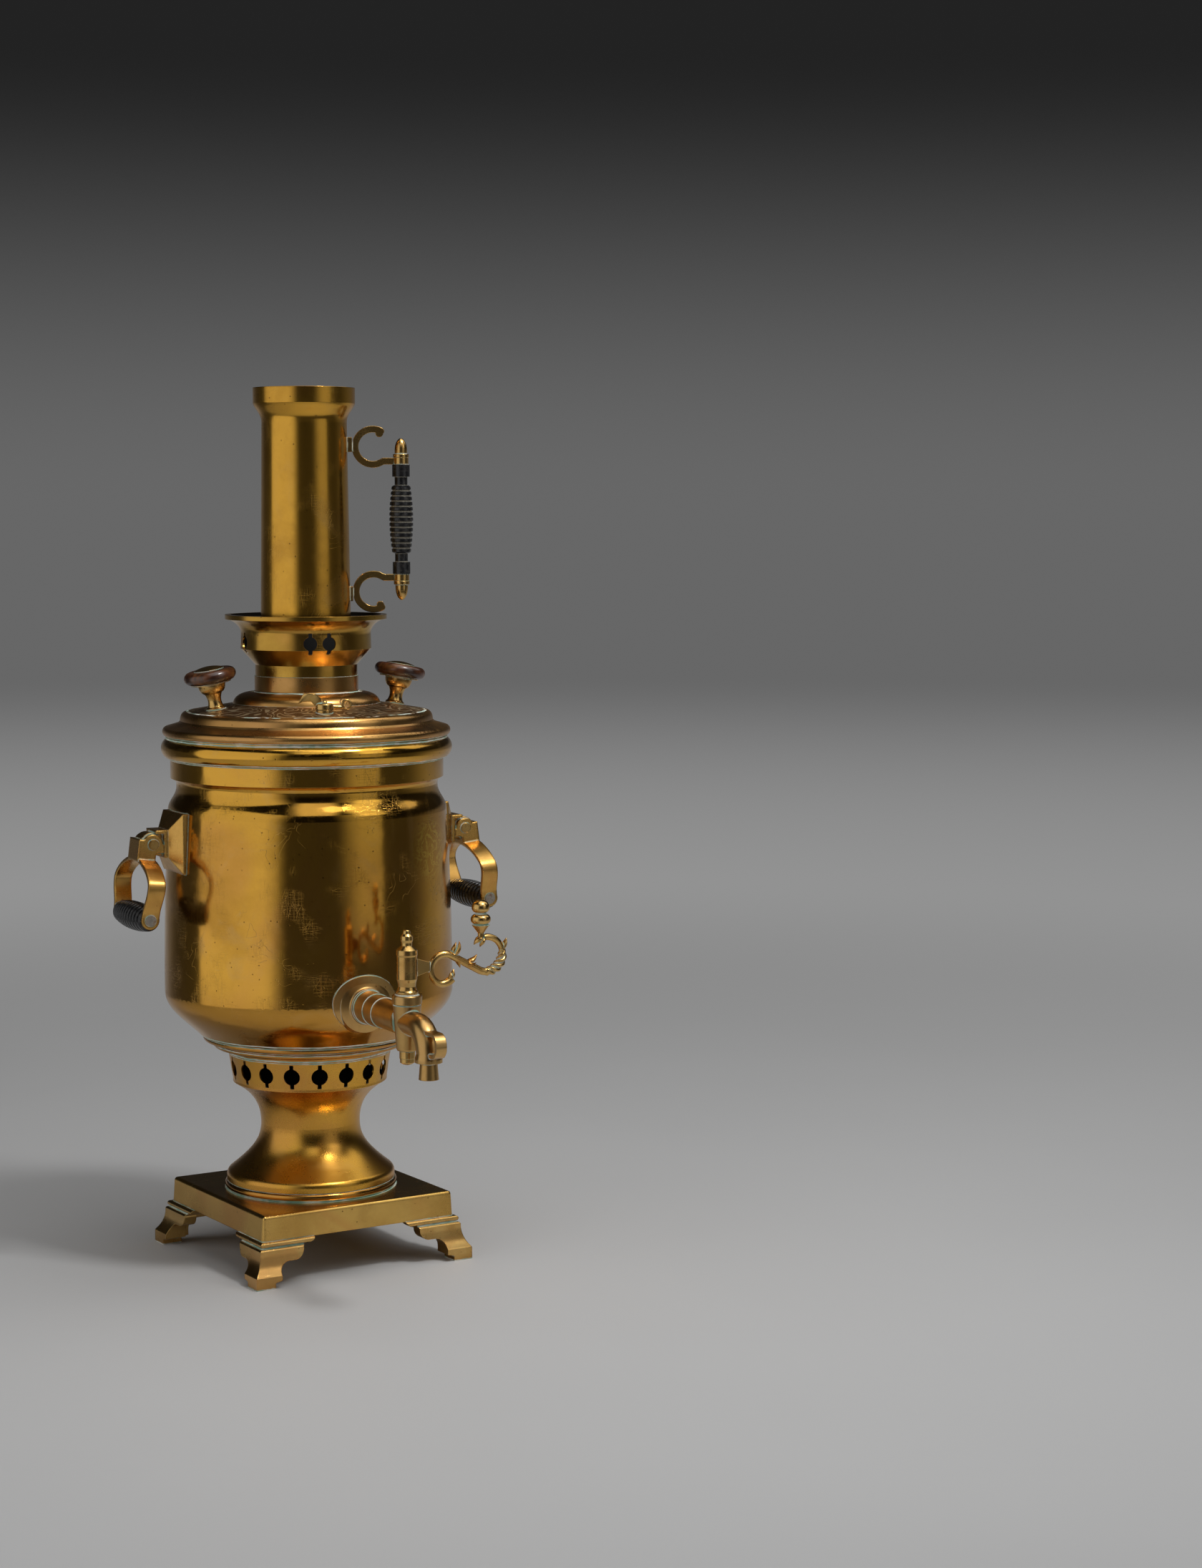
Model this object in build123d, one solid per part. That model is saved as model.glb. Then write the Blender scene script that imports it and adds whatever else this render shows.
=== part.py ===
from build123d import *
from math import atan2, cos, pi, radians, sin, sqrt, tan
import os

# A coal-fired brass samovar.  Its flue runs up through the water, so air drawn in at the vents
# of the pedestal feeds the fire on the grate, and the smoke leaves by the chimney pipe.
# Millimetres.  +Z is up, Z = 0 is the surface under the feet, and the Z axis is the axis of the
# urn.  The tap points along -Y.  The left drop handle is on -X and the right one on +X.

# ------------------------------------------------------------------ driving sizes
# Clearances
pin_gap = 0.08            # radial, between a pin or plug and the bore it turns in
lift_gap = 0.8            # radial, between pieces that lift off each other
side_gap = 0.3            # between faces that slide past each other
stop_gap = 0.1            # between a stop and what rests on it

# Feet: four cast corner brackets
foot_height = 33.0
foot_splay = 10.4         # how far the toe stands out past the plate
toe_height = 10.0
toe_width = 21.0
foot_wall = 6.0
wing_length = 42.0        # of the bead under the plate's edge, from the plate's corner
lobe_length = 31.5        # of the scalloped member below it
bead_size = 4.0

# Base plate: an inverted tray
base_turn = 4.8           # the square base is soldered on slightly turned
plate_width = 161.2       # at its lower rim
plate_draft = 3.6
plate_height = 19.0
plate_wall = 2.0
plate_edge = 3.0
plate_hole = 30.0         # radius of the opening under the pedestal

# Pedestal and vent gallery
plinth_radius = 66.0
plinth_height = 6.5
sheet_wall = 1.6
seam_lip = 1.0            # upright lip where two sheet pieces meet
bell_radius = 64.4
bell_lip = 3.5
bell_edge = 5.5           # radius between the lip and the slope
bell_slope = 52.0         # of the bell from upright
waist_radius = 37.9
waist_height = 43.5       # above the plinth ring
pedestal_height = 77.4
gallery_foot_radius = 59.0
gallery_top_radius = 62.1
gallery_height = 21.5
vent_count = 18
vent_radius = 6.2
vent_slot_width = 3.0
vent_slot_length = 18.5

# Urn
rings_height = 14.8       # stepped moulding between the gallery and the urn
ring_radius_lower = 74.1
rings_inset = 1.6         # of the upper ring, from the foot of the bowl
bowl_radius = 83.2        # where the bowl of the urn starts
bowl_height = 34.8
urn_radius = 110.1
urn_bulge = 0.9
urn_height = 137.0        # of the tall wall
shoulder_inset = 4.0      # from the wall, like the next two
shoulder_height = 19.8
groove_inset = 10.8
band_inset = 6.3
band_foot = 5.4
band_height = 14.3
collar_height = 17.0      # the rolled collar that the lid sits on
collar_ledge = 3.8        # inwards from the band
collar_foot_overhang = 1.1
collar_overhang = 0.4     # of the roll, beyond the wall
collar_roll = 3.5         # from the roll in to the collar's flat top

# Flue and grate
flue_wall = 1.8
flue_foot_radius = 47.0
flue_straight = 25.0
flue_taper_height = 210.0
grate_thickness = 5.0
grate_lift = 12.0
grate_slot = 5.0
grate_slots = 5
grate_ledge = 4.0         # inwards from the flue's wall

# Lid
lid_wall = 1.6
lid_inset = 1.2           # of the lid's edge, from the roll of the collar
lid_rim_height = 10.4
lid_brim = 12.3
lid_step_height = 8.2
lid_cove = 5.5
lid_deck_inner = 56.0
lid_deck_rise = 6.0
lid_bump_rise = 8.6
lid_neck_height = 12.2
skirt_depth = 12.0
skirt_wall = 1.8

# Lid knobs
knob_spacing = 146.0      # between the two knob feet
knob_lean = 10.5
knob_foot_radius = 7.3
knob_waist_radius = 4.6
knob_cup_radius = 10.4
knob_stem_height = 20.0
knob_plate_radius = 15.0
knob_plate_thickness = 0.9
knob_disc_radius = 19.7
knob_disc_thickness = 9.4
knob_cap_radius = 11.3
knob_cap_height = 2.6

# Steam vent
vent_turn = -11.8         # from the tap's direction, seen from above
vent_reach = 73.0         # from the axis of the urn
vent_seat_radius = 6.2
vent_seat_height = 1.8
vent_hub_height = 4.6
steam_hole_radius = 1.3
steam_hole_reach = 3.7    # from the pin
vent_swing = 60.0         # of the cap, from closed to open
vent_pin_radius = 1.5
vent_head_radius = 2.3
vent_head_rise = 2.2
vent_eye_reach = 16.4     # from the pin to the middle of the curled eye
vent_eye_radius = 3.7
vent_eye_bore = 2.1
vent_wing_reach = 20.5    # from the pin to the wing's tip
vent_wing_rise = 12.8     # of the wing's top above the cap's underside
vent_wing_lift = 4.4      # of the lower corner at its tip
vent_wing_wall = 1.7
vent_wing_bow = 3.4       # of the bent wing, seen from above

# Crown (the teapot rest) and chimney pipe
crown_sleeve_height = 8.6
crown_cup_radius = 49.5
crown_cone_height = 12.0
crown_cup_height = 11.4
crown_flange_radius = 61.3
crown_flange_rise = 11.0
crown_rim = 3.4
crown_wall = 1.6
crown_vent_pairs = 4
crown_vent_radius = 5.2
crown_vent_slot_width = 3.0
crown_vent_slot_length = 16.0
crown_vent_pitch = 16.7   # degrees between the two vents of a pair
crown_vent_turn = -10.0   # of the first pair, from the tap's direction
pipe_wall = 1.4
pipe_foot_radius = 34.3
pipe_neck_radius = 32.2
pipe_top_radius = 38.5
pipe_band_height = 11.8
pipe_flare_height = 14.4
pipe_height = 208.5       # above the ledge in the crown
pipe_tail = 15.0          # reaches down into the flue
pipe_bead = 2.6

# Chimney handle
pipe_handle_turn = -22.0  # of the handle's direction, from +X
pipe_handle_height = 109.6      # of its middle, above the ledge in the crown
pipe_handle_reach = 72.8
scroll_spacing = 109.6    # between the centres of the two scrolls
scroll_reach = 51.5
scroll_radius = 13.3
scroll_width = 5.0
scroll_depth = 5.0
scroll_ball_radius = 2.9
scroll_arm_drop = 10.8    # from a scroll's centre to its arm
scroll_opening = 62.0     # where the curl ends, degrees from the handle's direction
pad_width = 10.0
pad_height = 11.0
ferrule_radius = 5.8
ferrule_height = 5.4
acorn_radius = 4.7
acorn_height = 12.0
acorn_ring = 2.6
grip_rod_radius = 1.8
tube_collar_radius = 6.7
tube_collar_height = 9.0
tube_neck_radius = 4.9
tube_neck_height = 6.6
tube_rib_radius = 9.1
tube_end_radius = 7.0
tube_rib_count = 13
rib_depth = 1.3

# Tap
tap_height = 207.5        # of its waterway above the surface
tap_bore = 4.5            # radius of the whole waterway
tap_tube_radius = 10.8
tap_ring_radius = 12.9    # of the ring against the flange
tap_ring_taper = 0.65     # by which each further ring is smaller
tap_ring_first = 4.4      # from the urn's wall to the first ring
tap_ring_pitch = 14.2
tap_ring_count = 3
tap_ring_width = 2.0
tap_length = 74.9         # from the wall to the tap's plug
barrel_radius = 10.3
barrel_foot_radius = 7.8
barrel_rise = 19.3        # above the waterway
barrel_drop = 20.8
barrel_band = 7.5
spout_reach = 37.0        # from the plug to the nozzle
spout_radius = 8.9
spout_foot_radius = 9.8
spout_bend = 19.0
spout_drop = 23.4         # from the waterway to the foot of the elbow
nozzle_height = 12.2
nozzle_top_radius = 6.2
nozzle_radius = 7.2
loop_reach = 21.0         # of the thumb loop, in front of the nozzle
loop_rise = -1.9          # of the loop's upper end above the waterway
loop_drop = 17.5
loop_width = 8.0
loop_thickness = 2.4
flange_width = 50.0
flange_height = 41.0
flange_lift = 2.0
flange_wall = 1.6
dome_radius = 20.0

# Tap key
plug_top_radius = 7.9
plug_foot_radius = 4.6
plug_port_radius = 3.7
plug_tail_radius = 2.6
washer_radius = 5.7
washer_height = 5.6
nut_radius = 5.3
nut_height = 4.8
key_height = 46.8
key_body_radius = 7.35
key_lug_drop = 27.5       # from the top of the key to the middle of the lug
key_lug_height = 13.6
key_lug_tip = 6.6
key_lug_reach = 17.2
key_lug_width = 4.0
branch_radius = 2.1
rope_radius = 3.4         # of the thicker stretch of the loop
branch_hook_radius = 10.9
branch_hook_drop = 3.1    # of the hook's middle below the lug's
branch_loop_radius = 12.6
branch_loop_reach = 62.8  # from the plug's axis to the middle of the loop
branch_loop_lift = 8.6    # of the loop's middle above the hook's
stem_radius = 2.9         # where the stem is thickest
leaf_length = 9.5
leaf_radius = 2.0
finial_cup_radius = 6.5
finial_cushion_radius = 7.3
finial_knob_radius = 6.7
finial_height = 24.2
finial_reach = 58.4

# Drop handles
hinge_height = 323.7
hinge_standoff = 17.7     # of the pin, from the wall
hinge_width = 22.0
tongue_width = 13.6
knuckle_radius = 8.6
ear_radius = 7.5
hinge_pin_radius = 2.3
hinge_head_radius = 3.9
hinge_head_height = 1.3
bracket_half_height = 10.4
bracket_plate_width = 44.0
bracket_plate_height = 45.0
bracket_seat = 1.9        # of the plate's edge, behind the wall's widest point
bracket_slope = 5.9       # of the plate's middle, in front of it
bracket_lip = 2.4         # thickness of the lip that stops the lifted bail
bail_lean = 7.4           # the stop holds the bail this far out from hanging straight
bail_travel = 75.0        # from there to the upper stop
bail_wall = 1.9           # of the crown in front of the tongue
bail_crown = 3.0          # height of the crown above the pin
bail_heel = 3.1           # of the neck behind the pin
bail_neck_height = 10.5
strap_width = 13.0
strap_offset = 3.4        # of the strap's middle in front of the pin
strap_thickness = 2.8
hoop_width = 69.0
hoop_drop = 31.0
grip_drop = 54.6
grip_span = 63.0          # between the middles of the straps at the grip
grip_disc_radius = 6.6
grip_disc_thickness = 3.2
grip_end_radius = 8.2
grip_radius = 10.6
grip_rib_count = 12
grip_head_radius = 4.0
grip_head_height = 1.2

# ------------------------------------------------------------------ levels worked out from them
plate_top = foot_height + plate_height
plinth_top = plate_top + plinth_height
pedestal_top = plinth_top + pedestal_height
gallery_top = pedestal_top + gallery_height
urn_bottom = gallery_top + rings_height
bowl_top = urn_bottom + bowl_height
wall_top = bowl_top + urn_height
shoulder_top = wall_top + shoulder_height
band_bottom = shoulder_top + band_foot
band_top = band_bottom + band_height
rim_top = band_top + collar_height
lid_step = rim_top + lid_rim_height
lid_deck = lid_step + lid_step_height
lid_bump_foot = lid_deck + lid_deck_rise
lid_neck_foot = lid_bump_foot + lid_bump_rise
lid_neck_top = lid_neck_foot + lid_neck_height
ledge_top = lid_neck_top + crown_sleeve_height
crown_cup_foot = ledge_top + crown_cone_height
crown_cup_top = crown_cup_foot + crown_cup_height
crown_top = crown_cup_top + crown_flange_rise + crown_rim
pipe_top = ledge_top + pipe_height
ring_radius_upper = bowl_radius - rings_inset
shoulder_radius = urn_radius - shoulder_inset
groove_radius = urn_radius - groove_inset
band_radius = urn_radius - band_inset
collar_bore = band_radius - collar_ledge
collar_foot_radius = band_radius + collar_foot_overhang
collar_radius = urn_radius + collar_overhang
collar_top_radius = collar_radius - collar_roll
lid_radius = collar_radius - lid_inset
lid_step_radius = lid_radius - lid_brim
lid_deck_outer = lid_step_radius - lid_cove
bracket_plate_reach = urn_radius - bracket_seat
bracket_neck_reach = urn_radius + bracket_slope
hinge_reach = urn_radius + hinge_standoff
barrel_reach = urn_radius + tap_length
flue_bottom = urn_bottom - flue_wall
flue_top = ledge_top - crown_wall - lift_gap
flue_top_radius = pipe_foot_radius + lift_gap + flue_wall
lid_neck_radius = flue_top_radius + lift_gap + lid_wall
crown_sleeve_radius = flue_top_radius + side_gap + crown_wall
pipe_seat_bore = pipe_foot_radius + lift_gap
skirt_radius = collar_bore - lift_gap
skirt_bore = skirt_radius - skirt_wall
tap_ring_start = urn_radius + tap_ring_first
pipe_taper_foot = ledge_top + 20
pipe_band_foot = pipe_top - pipe_band_height
pipe_flare_foot = pipe_band_foot - pipe_flare_height
ferrule_bottom = scroll_spacing / 2 - scroll_arm_drop - ferrule_height / 2    # from the grip's middle
knob_disc_bottom = knob_stem_height + knob_plate_thickness
knob_disc_top = knob_disc_bottom + knob_disc_thickness
vent_cap_bottom = vent_seat_height + side_gap
vent_cap_top = vent_cap_bottom + vent_hub_height
key_top = barrel_rise + key_height
washer_bottom = -barrel_drop - side_gap - washer_height
branch_middle = key_top - key_lug_drop - branch_hook_drop


# ------------------------------------------------------------------ shared forms
def turned(face):
    """Revolve a face drawn with x as the radius and y as the height about the Z axis."""
    return revolve(Plane.XZ * face, Axis.Z)


def turned_lines(*points):
    """A turned solid whose outline is straight between its points."""
    return turned(make_face(Polyline(*points, close=True)))


def thickened(edges, amount, side=Side.BOTH):
    """Face of a strip beside or about a line, with its offset curves turned into splines."""
    outline = []
    for edge in offset(Wire(edges), amount=amount, side=side).edges():
        if edge.geom_type == GeomType.OFFSET:
            edge = Edge.make_spline([edge @ (k / 6) for k in range(7)], tangents=(edge % 0, edge % 1))
        outline.append(edge)
    return make_face(outline)


def sheet(edges, wall):
    """A turned sheet piece: an outline with its metal on the inner side."""
    return turned(thickened(edges, wall, Side.LEFT))


def cap_arc(radius, rim, top):
    """Arc of a spherical cap, from its rim to its top on the axis."""
    rise = abs(top - rim)
    ball = (radius ** 2 + rise ** 2) / (2 * rise)
    half = atan2(radius, ball - rise) / 2
    middle = top + (rim - top) * ball * (1 - cos(half)) / rise
    return ThreePointArc((radius, rim), (ball * sin(half), middle), (0, top)).edges()


def disc(radius, bottom, top, bore=0.0):
    """A turned disc or, with a bore, a ring."""
    return turned_lines((bore, bottom), (radius, bottom), (radius, top), (bore, top))


def around(shape, count, start=0.0):
    """Copies of a shape spaced evenly about the Z axis."""
    return [Rot(0, 0, start + 360.0 * k / count) * shape for k in range(count)]


def along(shape, origin, direction):
    """Put a shape that was made about +Z on another axis."""
    return Plane(origin=origin, z_dir=direction).location * shape


def crosswise(radius, low, high):
    """A cylinder along Y between two places."""
    return Pos(0, (low + high) / 2, 0) * Rot(90, 0, 0) * Cylinder(radius, high - low)


def keyhole(radius, slot_width, slot_length, reach):
    """Cutter for one vent: a round hole with a short slot above and below it, facing +X."""
    face = Circle(radius) + Rectangle(slot_width, slot_length)
    return extrude(Plane.YZ * face, 2 * reach) - Box(reach, 2 * reach, 2 * reach)


# ------------------------------------------------------------------ base
def base_plate():
    """Square inverted tray with rounded edges, open below and under the pedestal."""
    tray = extrude(RectangleRounded(plate_width, plate_width, plate_edge), plate_height, taper=plate_draft)
    tray = fillet(tray.faces().sort_by(Axis.Z)[-1].edges(), plate_edge - 0.5)
    inner = plate_width - 2 * plate_wall
    hollow = extrude(Rectangle(inner, inner), plate_height - plate_wall, taper=plate_draft)
    opening = Cylinder(plate_hole, 3 * plate_height)
    return Pos(0, 0, foot_height) * (tray - hollow - opening)


def foot_section():
    """Section of a foot, x outwards from the plate's edge: toe, scotia and the bead under the plate."""
    crest = foot_height - bead_size
    face_top = crest - 2.0
    back = Polyline((0.6, foot_height), (-foot_wall, foot_height), (-foot_wall, 0), (foot_splay, 0),
                    (foot_splay, toe_height - 1), (foot_splay - 0.6, toe_height)).edges()
    scotia = ThreePointArc((foot_splay - 0.6, toe_height), (0.55 * foot_splay, toe_height + 7),
                           (0.4 * foot_splay, face_top)).edges()
    step = Polyline((0.4 * foot_splay, face_top), (0.4 * foot_splay - 0.8, face_top + 0.9),
                    (0.6, crest)).edges()
    bead = ThreePointArc((0.6, crest), (0.9 + bead_size / 2, crest + bead_size / 2),
                         (0.6, foot_height)).edges()
    return make_face(back + scotia + step + bead)


def foot_scallop():
    """What is cut away below a foot's wing, x from the plate's corner and y up."""
    crest = foot_height - bead_size
    face_top = crest - 2.0
    lobe = 0.55 * foot_height
    toe = toe_width - foot_splay
    reach = wing_length + foot_splay
    edge = Polyline((reach, foot_height), (reach, -1), (toe - 5.5, -1), (toe - 5.5, 4.2), (toe, 5.4),
                    (toe, toe_height)).edges()
    edge += ThreePointArc((toe, toe_height), (toe + 2.5, lobe - 2.4), (toe + 9, lobe)).edges()
    edge += Line((toe + 9, lobe), (lobe_length - 6.5, lobe)).edges()
    edge += ThreePointArc((lobe_length - 6.5, lobe), (lobe_length - 1.6, lobe + 3),
                          (lobe_length, face_top)).edges()
    edge += Line((lobe_length, face_top), (lobe_length + 1.5, crest)).edges()
    edge += ThreePointArc((lobe_length + 1.5, crest), (wing_length - 2.4, crest + 1.0),
                          (wing_length, foot_height)).edges()
    edge += Line((wing_length, foot_height), (reach, foot_height)).edges()
    return make_face(edge)


def foot():
    """One corner bracket: its section run round the corner, its lower edge cut in scallops."""
    corner = plate_width / 2
    start = (-corner + wing_length, -corner, 0)
    run = Polyline(start, (-corner, -corner, 0), (-corner, -corner + wing_length, 0))
    profile = Plane(origin=start, x_dir=(0, -1, 0), z_dir=(-1, 0, 0)) * foot_section()
    bracket = sweep(profile, path=run, transition=Transition.RIGHT)
    face = Plane(origin=(-corner, -corner + foot_wall + 2, 0), x_dir=(1, 0, 0), z_dir=(0, -1, 0))
    cut = extrude(face * foot_scallop(), foot_splay + foot_wall + 4)
    return bracket - cut - mirror(cut, about=Plane(origin=(0, 0, 0), z_dir=(1, -1, 0)))


def plinth_ring():
    """Half-round ring between the plate and the pedestal."""
    half = plinth_height / 2
    edge = plinth_radius - half
    sides = Polyline((edge, plinth_top), (bell_radius - 6, plinth_top), (bell_radius - 6, plate_top),
                     (edge, plate_top)).edges()
    round_edge = ThreePointArc((edge, plate_top), (plinth_radius, plate_top + half),
                               (edge, plinth_top)).edges()
    return turned(make_face(sides + round_edge))


def pedestal():
    """Bell, waist and flare, spun in one sheet with a short upright lip at each end."""
    lip = plinth_top + bell_lip
    waist = plinth_top + waist_height
    flare_top = pedestal_top - seam_lip
    rise = flare_top - waist
    slope = radians(bell_slope)
    flare = gallery_foot_radius - waist_radius
    edge = Vector(bell_radius - bell_edge * (1 - cos(slope)), lip + bell_edge * sin(slope))
    run = 0.8 * (edge.X - waist_radius)
    edges = Line((bell_radius, plinth_top), (bell_radius, lip)).edges()
    edges += TangentArc((bell_radius, lip), (edge.X, edge.Y), tangent=(0, 1)).edges()
    edges += Bezier((edge.X, edge.Y), (edge.X - run, edge.Y + run / tan(slope)),
                    (waist_radius, waist - 0.3 * (waist - lip)), (waist_radius, waist)).edges()
    edges += Bezier((waist_radius, waist), (waist_radius, waist + 0.58 * rise),
                    (gallery_foot_radius - 0.45 * flare, flare_top - 0.17 * rise),
                    (gallery_foot_radius, flare_top)).edges()
    edges += Line((gallery_foot_radius, flare_top), (gallery_foot_radius, pedestal_top)).edges()
    return sheet(edges, sheet_wall)


def vent_gallery():
    """Pierced band that lets air in under the grate."""
    edges = Polyline((gallery_foot_radius, pedestal_top), (gallery_foot_radius, pedestal_top + seam_lip),
                     (gallery_top_radius, gallery_top - seam_lip), (gallery_top_radius, gallery_top)).edges()
    middle = pedestal_top + gallery_height / 2
    cutter = Pos(0, 0, middle) * keyhole(vent_radius, vent_slot_width, vent_slot_length, gallery_top_radius)
    return sheet(edges, sheet_wall) - around(cutter, vent_count, base_turn - 90)


def bottom_rings():
    """Two stepped beads under the bowl."""
    step = rings_height / 3
    low = gallery_top + step
    high = gallery_top + 2 * step
    bore = gallery_top_radius - 5
    edges = Polyline((ring_radius_upper - 2, urn_bottom), (bore, urn_bottom), (bore, gallery_top),
                     (gallery_top_radius + 0.6, gallery_top)).edges()
    edges += ThreePointArc((gallery_top_radius + 0.6, gallery_top), (gallery_top_radius + 2.4, low - 1),
                           (ring_radius_lower - 3, low)).edges()
    edges += ThreePointArc((ring_radius_lower - 3, low), (ring_radius_lower, low + step / 2),
                           (ring_radius_lower - 2, high)).edges()
    edges += Line((ring_radius_lower - 2, high), (ring_radius_upper - 2, high + 0.5)).edges()
    edges += ThreePointArc((ring_radius_upper - 2, high + 0.5), (ring_radius_upper, high + 0.55 * step),
                           (ring_radius_upper - 2, urn_bottom)).edges()
    return turned(make_face(edges))


# ------------------------------------------------------------------ urn
def urn_outline():
    """Outer line of the urn, from the flue's foot to its open top."""
    swell = urn_radius - bowl_radius
    rise = shoulder_height
    middle = (urn_radius + shoulder_radius) / 2 + urn_bulge
    edges = Line((flue_foot_radius, urn_bottom), (bowl_radius, urn_bottom)).edges()
    edges += Bezier((bowl_radius, urn_bottom), (bowl_radius + 0.55 * swell, urn_bottom + 0.42 * bowl_height),
                    (urn_radius, urn_bottom + 0.6 * bowl_height), (urn_radius, bowl_top)).edges()
    edges += ThreePointArc((urn_radius, bowl_top), (middle, bowl_top + urn_height / 2),
                           (shoulder_radius, wall_top)).edges()
    edges += Bezier((shoulder_radius, wall_top), (shoulder_radius - 0.6, wall_top + 0.45 * rise),
                    (groove_radius, wall_top + 0.5 * rise), (groove_radius, shoulder_top)).edges()
    edges += ThreePointArc((groove_radius, shoulder_top),
                           (groove_radius + 1.4, shoulder_top + 0.7 * band_foot),
                           (band_radius, band_bottom)).edges()
    edges += Line((band_radius, band_bottom), (band_radius, band_top)).edges()
    return edges


def urn_solid():
    """The urn's outer form, filled, for scribing what is soldered to its wall."""
    closing = Polyline((band_radius, band_top), (0, band_top), (0, urn_bottom),
                       (flue_foot_radius, urn_bottom)).edges()
    return turned(make_face(urn_outline() + closing))


def urn_body():
    """The water vessel, with the hole that feeds the tap."""
    feed = along(Cylinder(tap_bore, urn_radius), (0, -urn_radius, tap_height), (0, -1, 0))
    return sheet(urn_outline(), sheet_wall) - feed


def rim_collar():
    """Rolled collar round the mouth of the urn."""
    shoulder = rim_top - 2
    sides = Polyline((collar_top_radius, shoulder), (collar_top_radius, rim_top), (collar_bore, rim_top),
                     (collar_bore, band_top), (collar_foot_radius, band_top)).edges()
    roll = ThreePointArc((collar_foot_radius, band_top), (collar_radius, (band_top + shoulder) / 2),
                         (collar_top_radius, shoulder)).edges()
    return turned(make_face(sides + roll))


def flue_tube():
    """Fire tube through the urn: straight at the fire, then tapering to the lid, with a grate ledge."""
    straight = flue_bottom + flue_straight
    neck = straight + flue_taper_height
    line = Polyline((flue_foot_radius, flue_bottom), (flue_foot_radius, straight),
                    (flue_top_radius, neck), (flue_top_radius, flue_top))
    shelf = flue_bottom + grate_lift
    inner = flue_foot_radius - flue_wall
    ledge = disc(inner + flue_wall / 2, shelf - grate_ledge / 2, shelf, inner - grate_ledge)
    return sheet(line.edges(), flue_wall) + ledge


def grate():
    """Slotted cast grate, resting on its ledge."""
    bottom = flue_bottom + grate_lift
    radius = flue_foot_radius - flue_wall - lift_gap
    plate = disc(radius, bottom, bottom + grate_thickness)
    pitch = 2 * radius / (grate_slots + 1)
    for k in range(grate_slots):
        place = (k - (grate_slots - 1) / 2) * pitch
        length = 2 * sqrt((radius - 2 * grate_ledge) ** 2 - place ** 2)
        slot = extrude(SlotOverall(length, grate_slot, rotation=90), 3 * grate_thickness, both=True)
        plate -= Pos(place, 0, bottom) * slot
    return plate


# ------------------------------------------------------------------ lid
def lid():
    """Domed lid: flat seat, rolled rim, stepped bead, sloping deck, inner bump and neck."""
    rim = rim_top + 0.4 * lid_rim_height
    seat = collar_top_radius - 1
    step = lid_step_radius - 1
    edges = Line((skirt_bore, rim_top), (seat, rim_top)).edges()
    edges += ThreePointArc((seat, rim_top), (lid_radius, rim), (lid_radius - 1.6, rim + 2.6)).edges()
    edges += Bezier((lid_radius - 1.6, rim + 2.6), (lid_radius - 6, rim + 4),
                    (lid_step_radius + 2, lid_step - 1.4), (lid_step_radius, lid_step)).edges()
    edges += Line((lid_step_radius, lid_step), (step, lid_step + 1.5)).edges()
    edges += Bezier((step, lid_step + 1.5), (step - 0.2, lid_step + 0.8 * lid_step_height),
                    (lid_deck_outer + 2, lid_deck - 0.2), (lid_deck_outer, lid_deck)).edges()
    edges += Line((lid_deck_outer, lid_deck), (lid_deck_inner, lid_bump_foot)).edges()
    edges += Bezier((lid_deck_inner, lid_bump_foot),
                    (lid_deck_inner - 1.5, lid_bump_foot + 0.8 * lid_bump_rise),
                    (lid_neck_radius + 8, lid_neck_foot), (lid_neck_radius + 0.8, lid_neck_foot)).edges()
    edges += Polyline((lid_neck_radius + 0.8, lid_neck_foot), (lid_neck_radius, lid_neck_foot + 1),
                      (lid_neck_radius, lid_neck_top)).edges()
    return sheet(edges, lid_wall) - vent_place().location * steam_hole(steam_hole_reach, 0)


def lid_solid():
    """The lid's outer form over its deck, filled, for scribing what stands on it."""
    return turned_lines((0, rim_top), (lid_step_radius, rim_top), (lid_step_radius - 1, lid_step + 1.5),
                        (lid_deck_outer, lid_deck), (lid_deck_inner, lid_bump_foot), (0, lid_bump_foot))


def lid_skirt():
    """Ring under the lid that keeps it central in the collar."""
    return disc(skirt_radius, rim_top - skirt_depth, rim_top, skirt_bore)


def deck_height(radius):
    """Height of the lid's deck at a distance from the axis."""
    slope = lid_deck_rise / (lid_deck_outer - lid_deck_inner)
    return lid_deck + (lid_deck_outer - radius) * slope


def knob_place(side):
    """Frame of one lid knob, its z along the leaning stem."""
    reach = knob_spacing / 2
    lean = radians(knob_lean)
    return Plane(origin=(side * reach, 0, deck_height(reach)), x_dir=(0, side, 0),
                 z_dir=(side * sin(lean), 0, cos(lean)))


def knob_stem():
    """Baluster stem from its foot on the lid to the cup under the knob."""
    top = knob_stem_height
    foot_top = 0.11 * top
    bulb = knob_waist_radius + 2.1
    edges = Polyline((knob_cup_radius, top), (0, top), (0, -3), (knob_foot_radius, -3),
                     (knob_foot_radius, 0.6 * foot_top), (knob_foot_radius - 1.2, foot_top)).edges()
    edges += Bezier((knob_foot_radius - 1.2, foot_top), (knob_waist_radius + 0.4, 0.22 * top),
                    (knob_waist_radius - 0.3, 0.4 * top), (bulb, 0.62 * top)).edges()
    edges += Bezier((bulb, 0.62 * top), (knob_cup_radius - 0.8, 0.68 * top),
                    (knob_cup_radius, 0.85 * top), (knob_cup_radius, top)).edges()
    return turned(make_face(edges))


def knob_plate():
    """Thin plate between the stem and the wooden knob."""
    return disc(knob_plate_radius, knob_stem_height, knob_disc_bottom)


def knob_disc():
    """Turned wooden knob: a flattened round-edged disc."""
    half = knob_disc_thickness / 2
    flat = knob_disc_radius - 0.95 * half
    sides = Polyline((flat, knob_disc_top), (0, knob_disc_top), (0, knob_disc_bottom),
                     (flat, knob_disc_bottom)).edges()
    edge = ThreePointArc((flat, knob_disc_bottom), (knob_disc_radius, knob_disc_bottom + half),
                         (flat, knob_disc_top)).edges()
    return turned(make_face(sides + edge))


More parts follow.
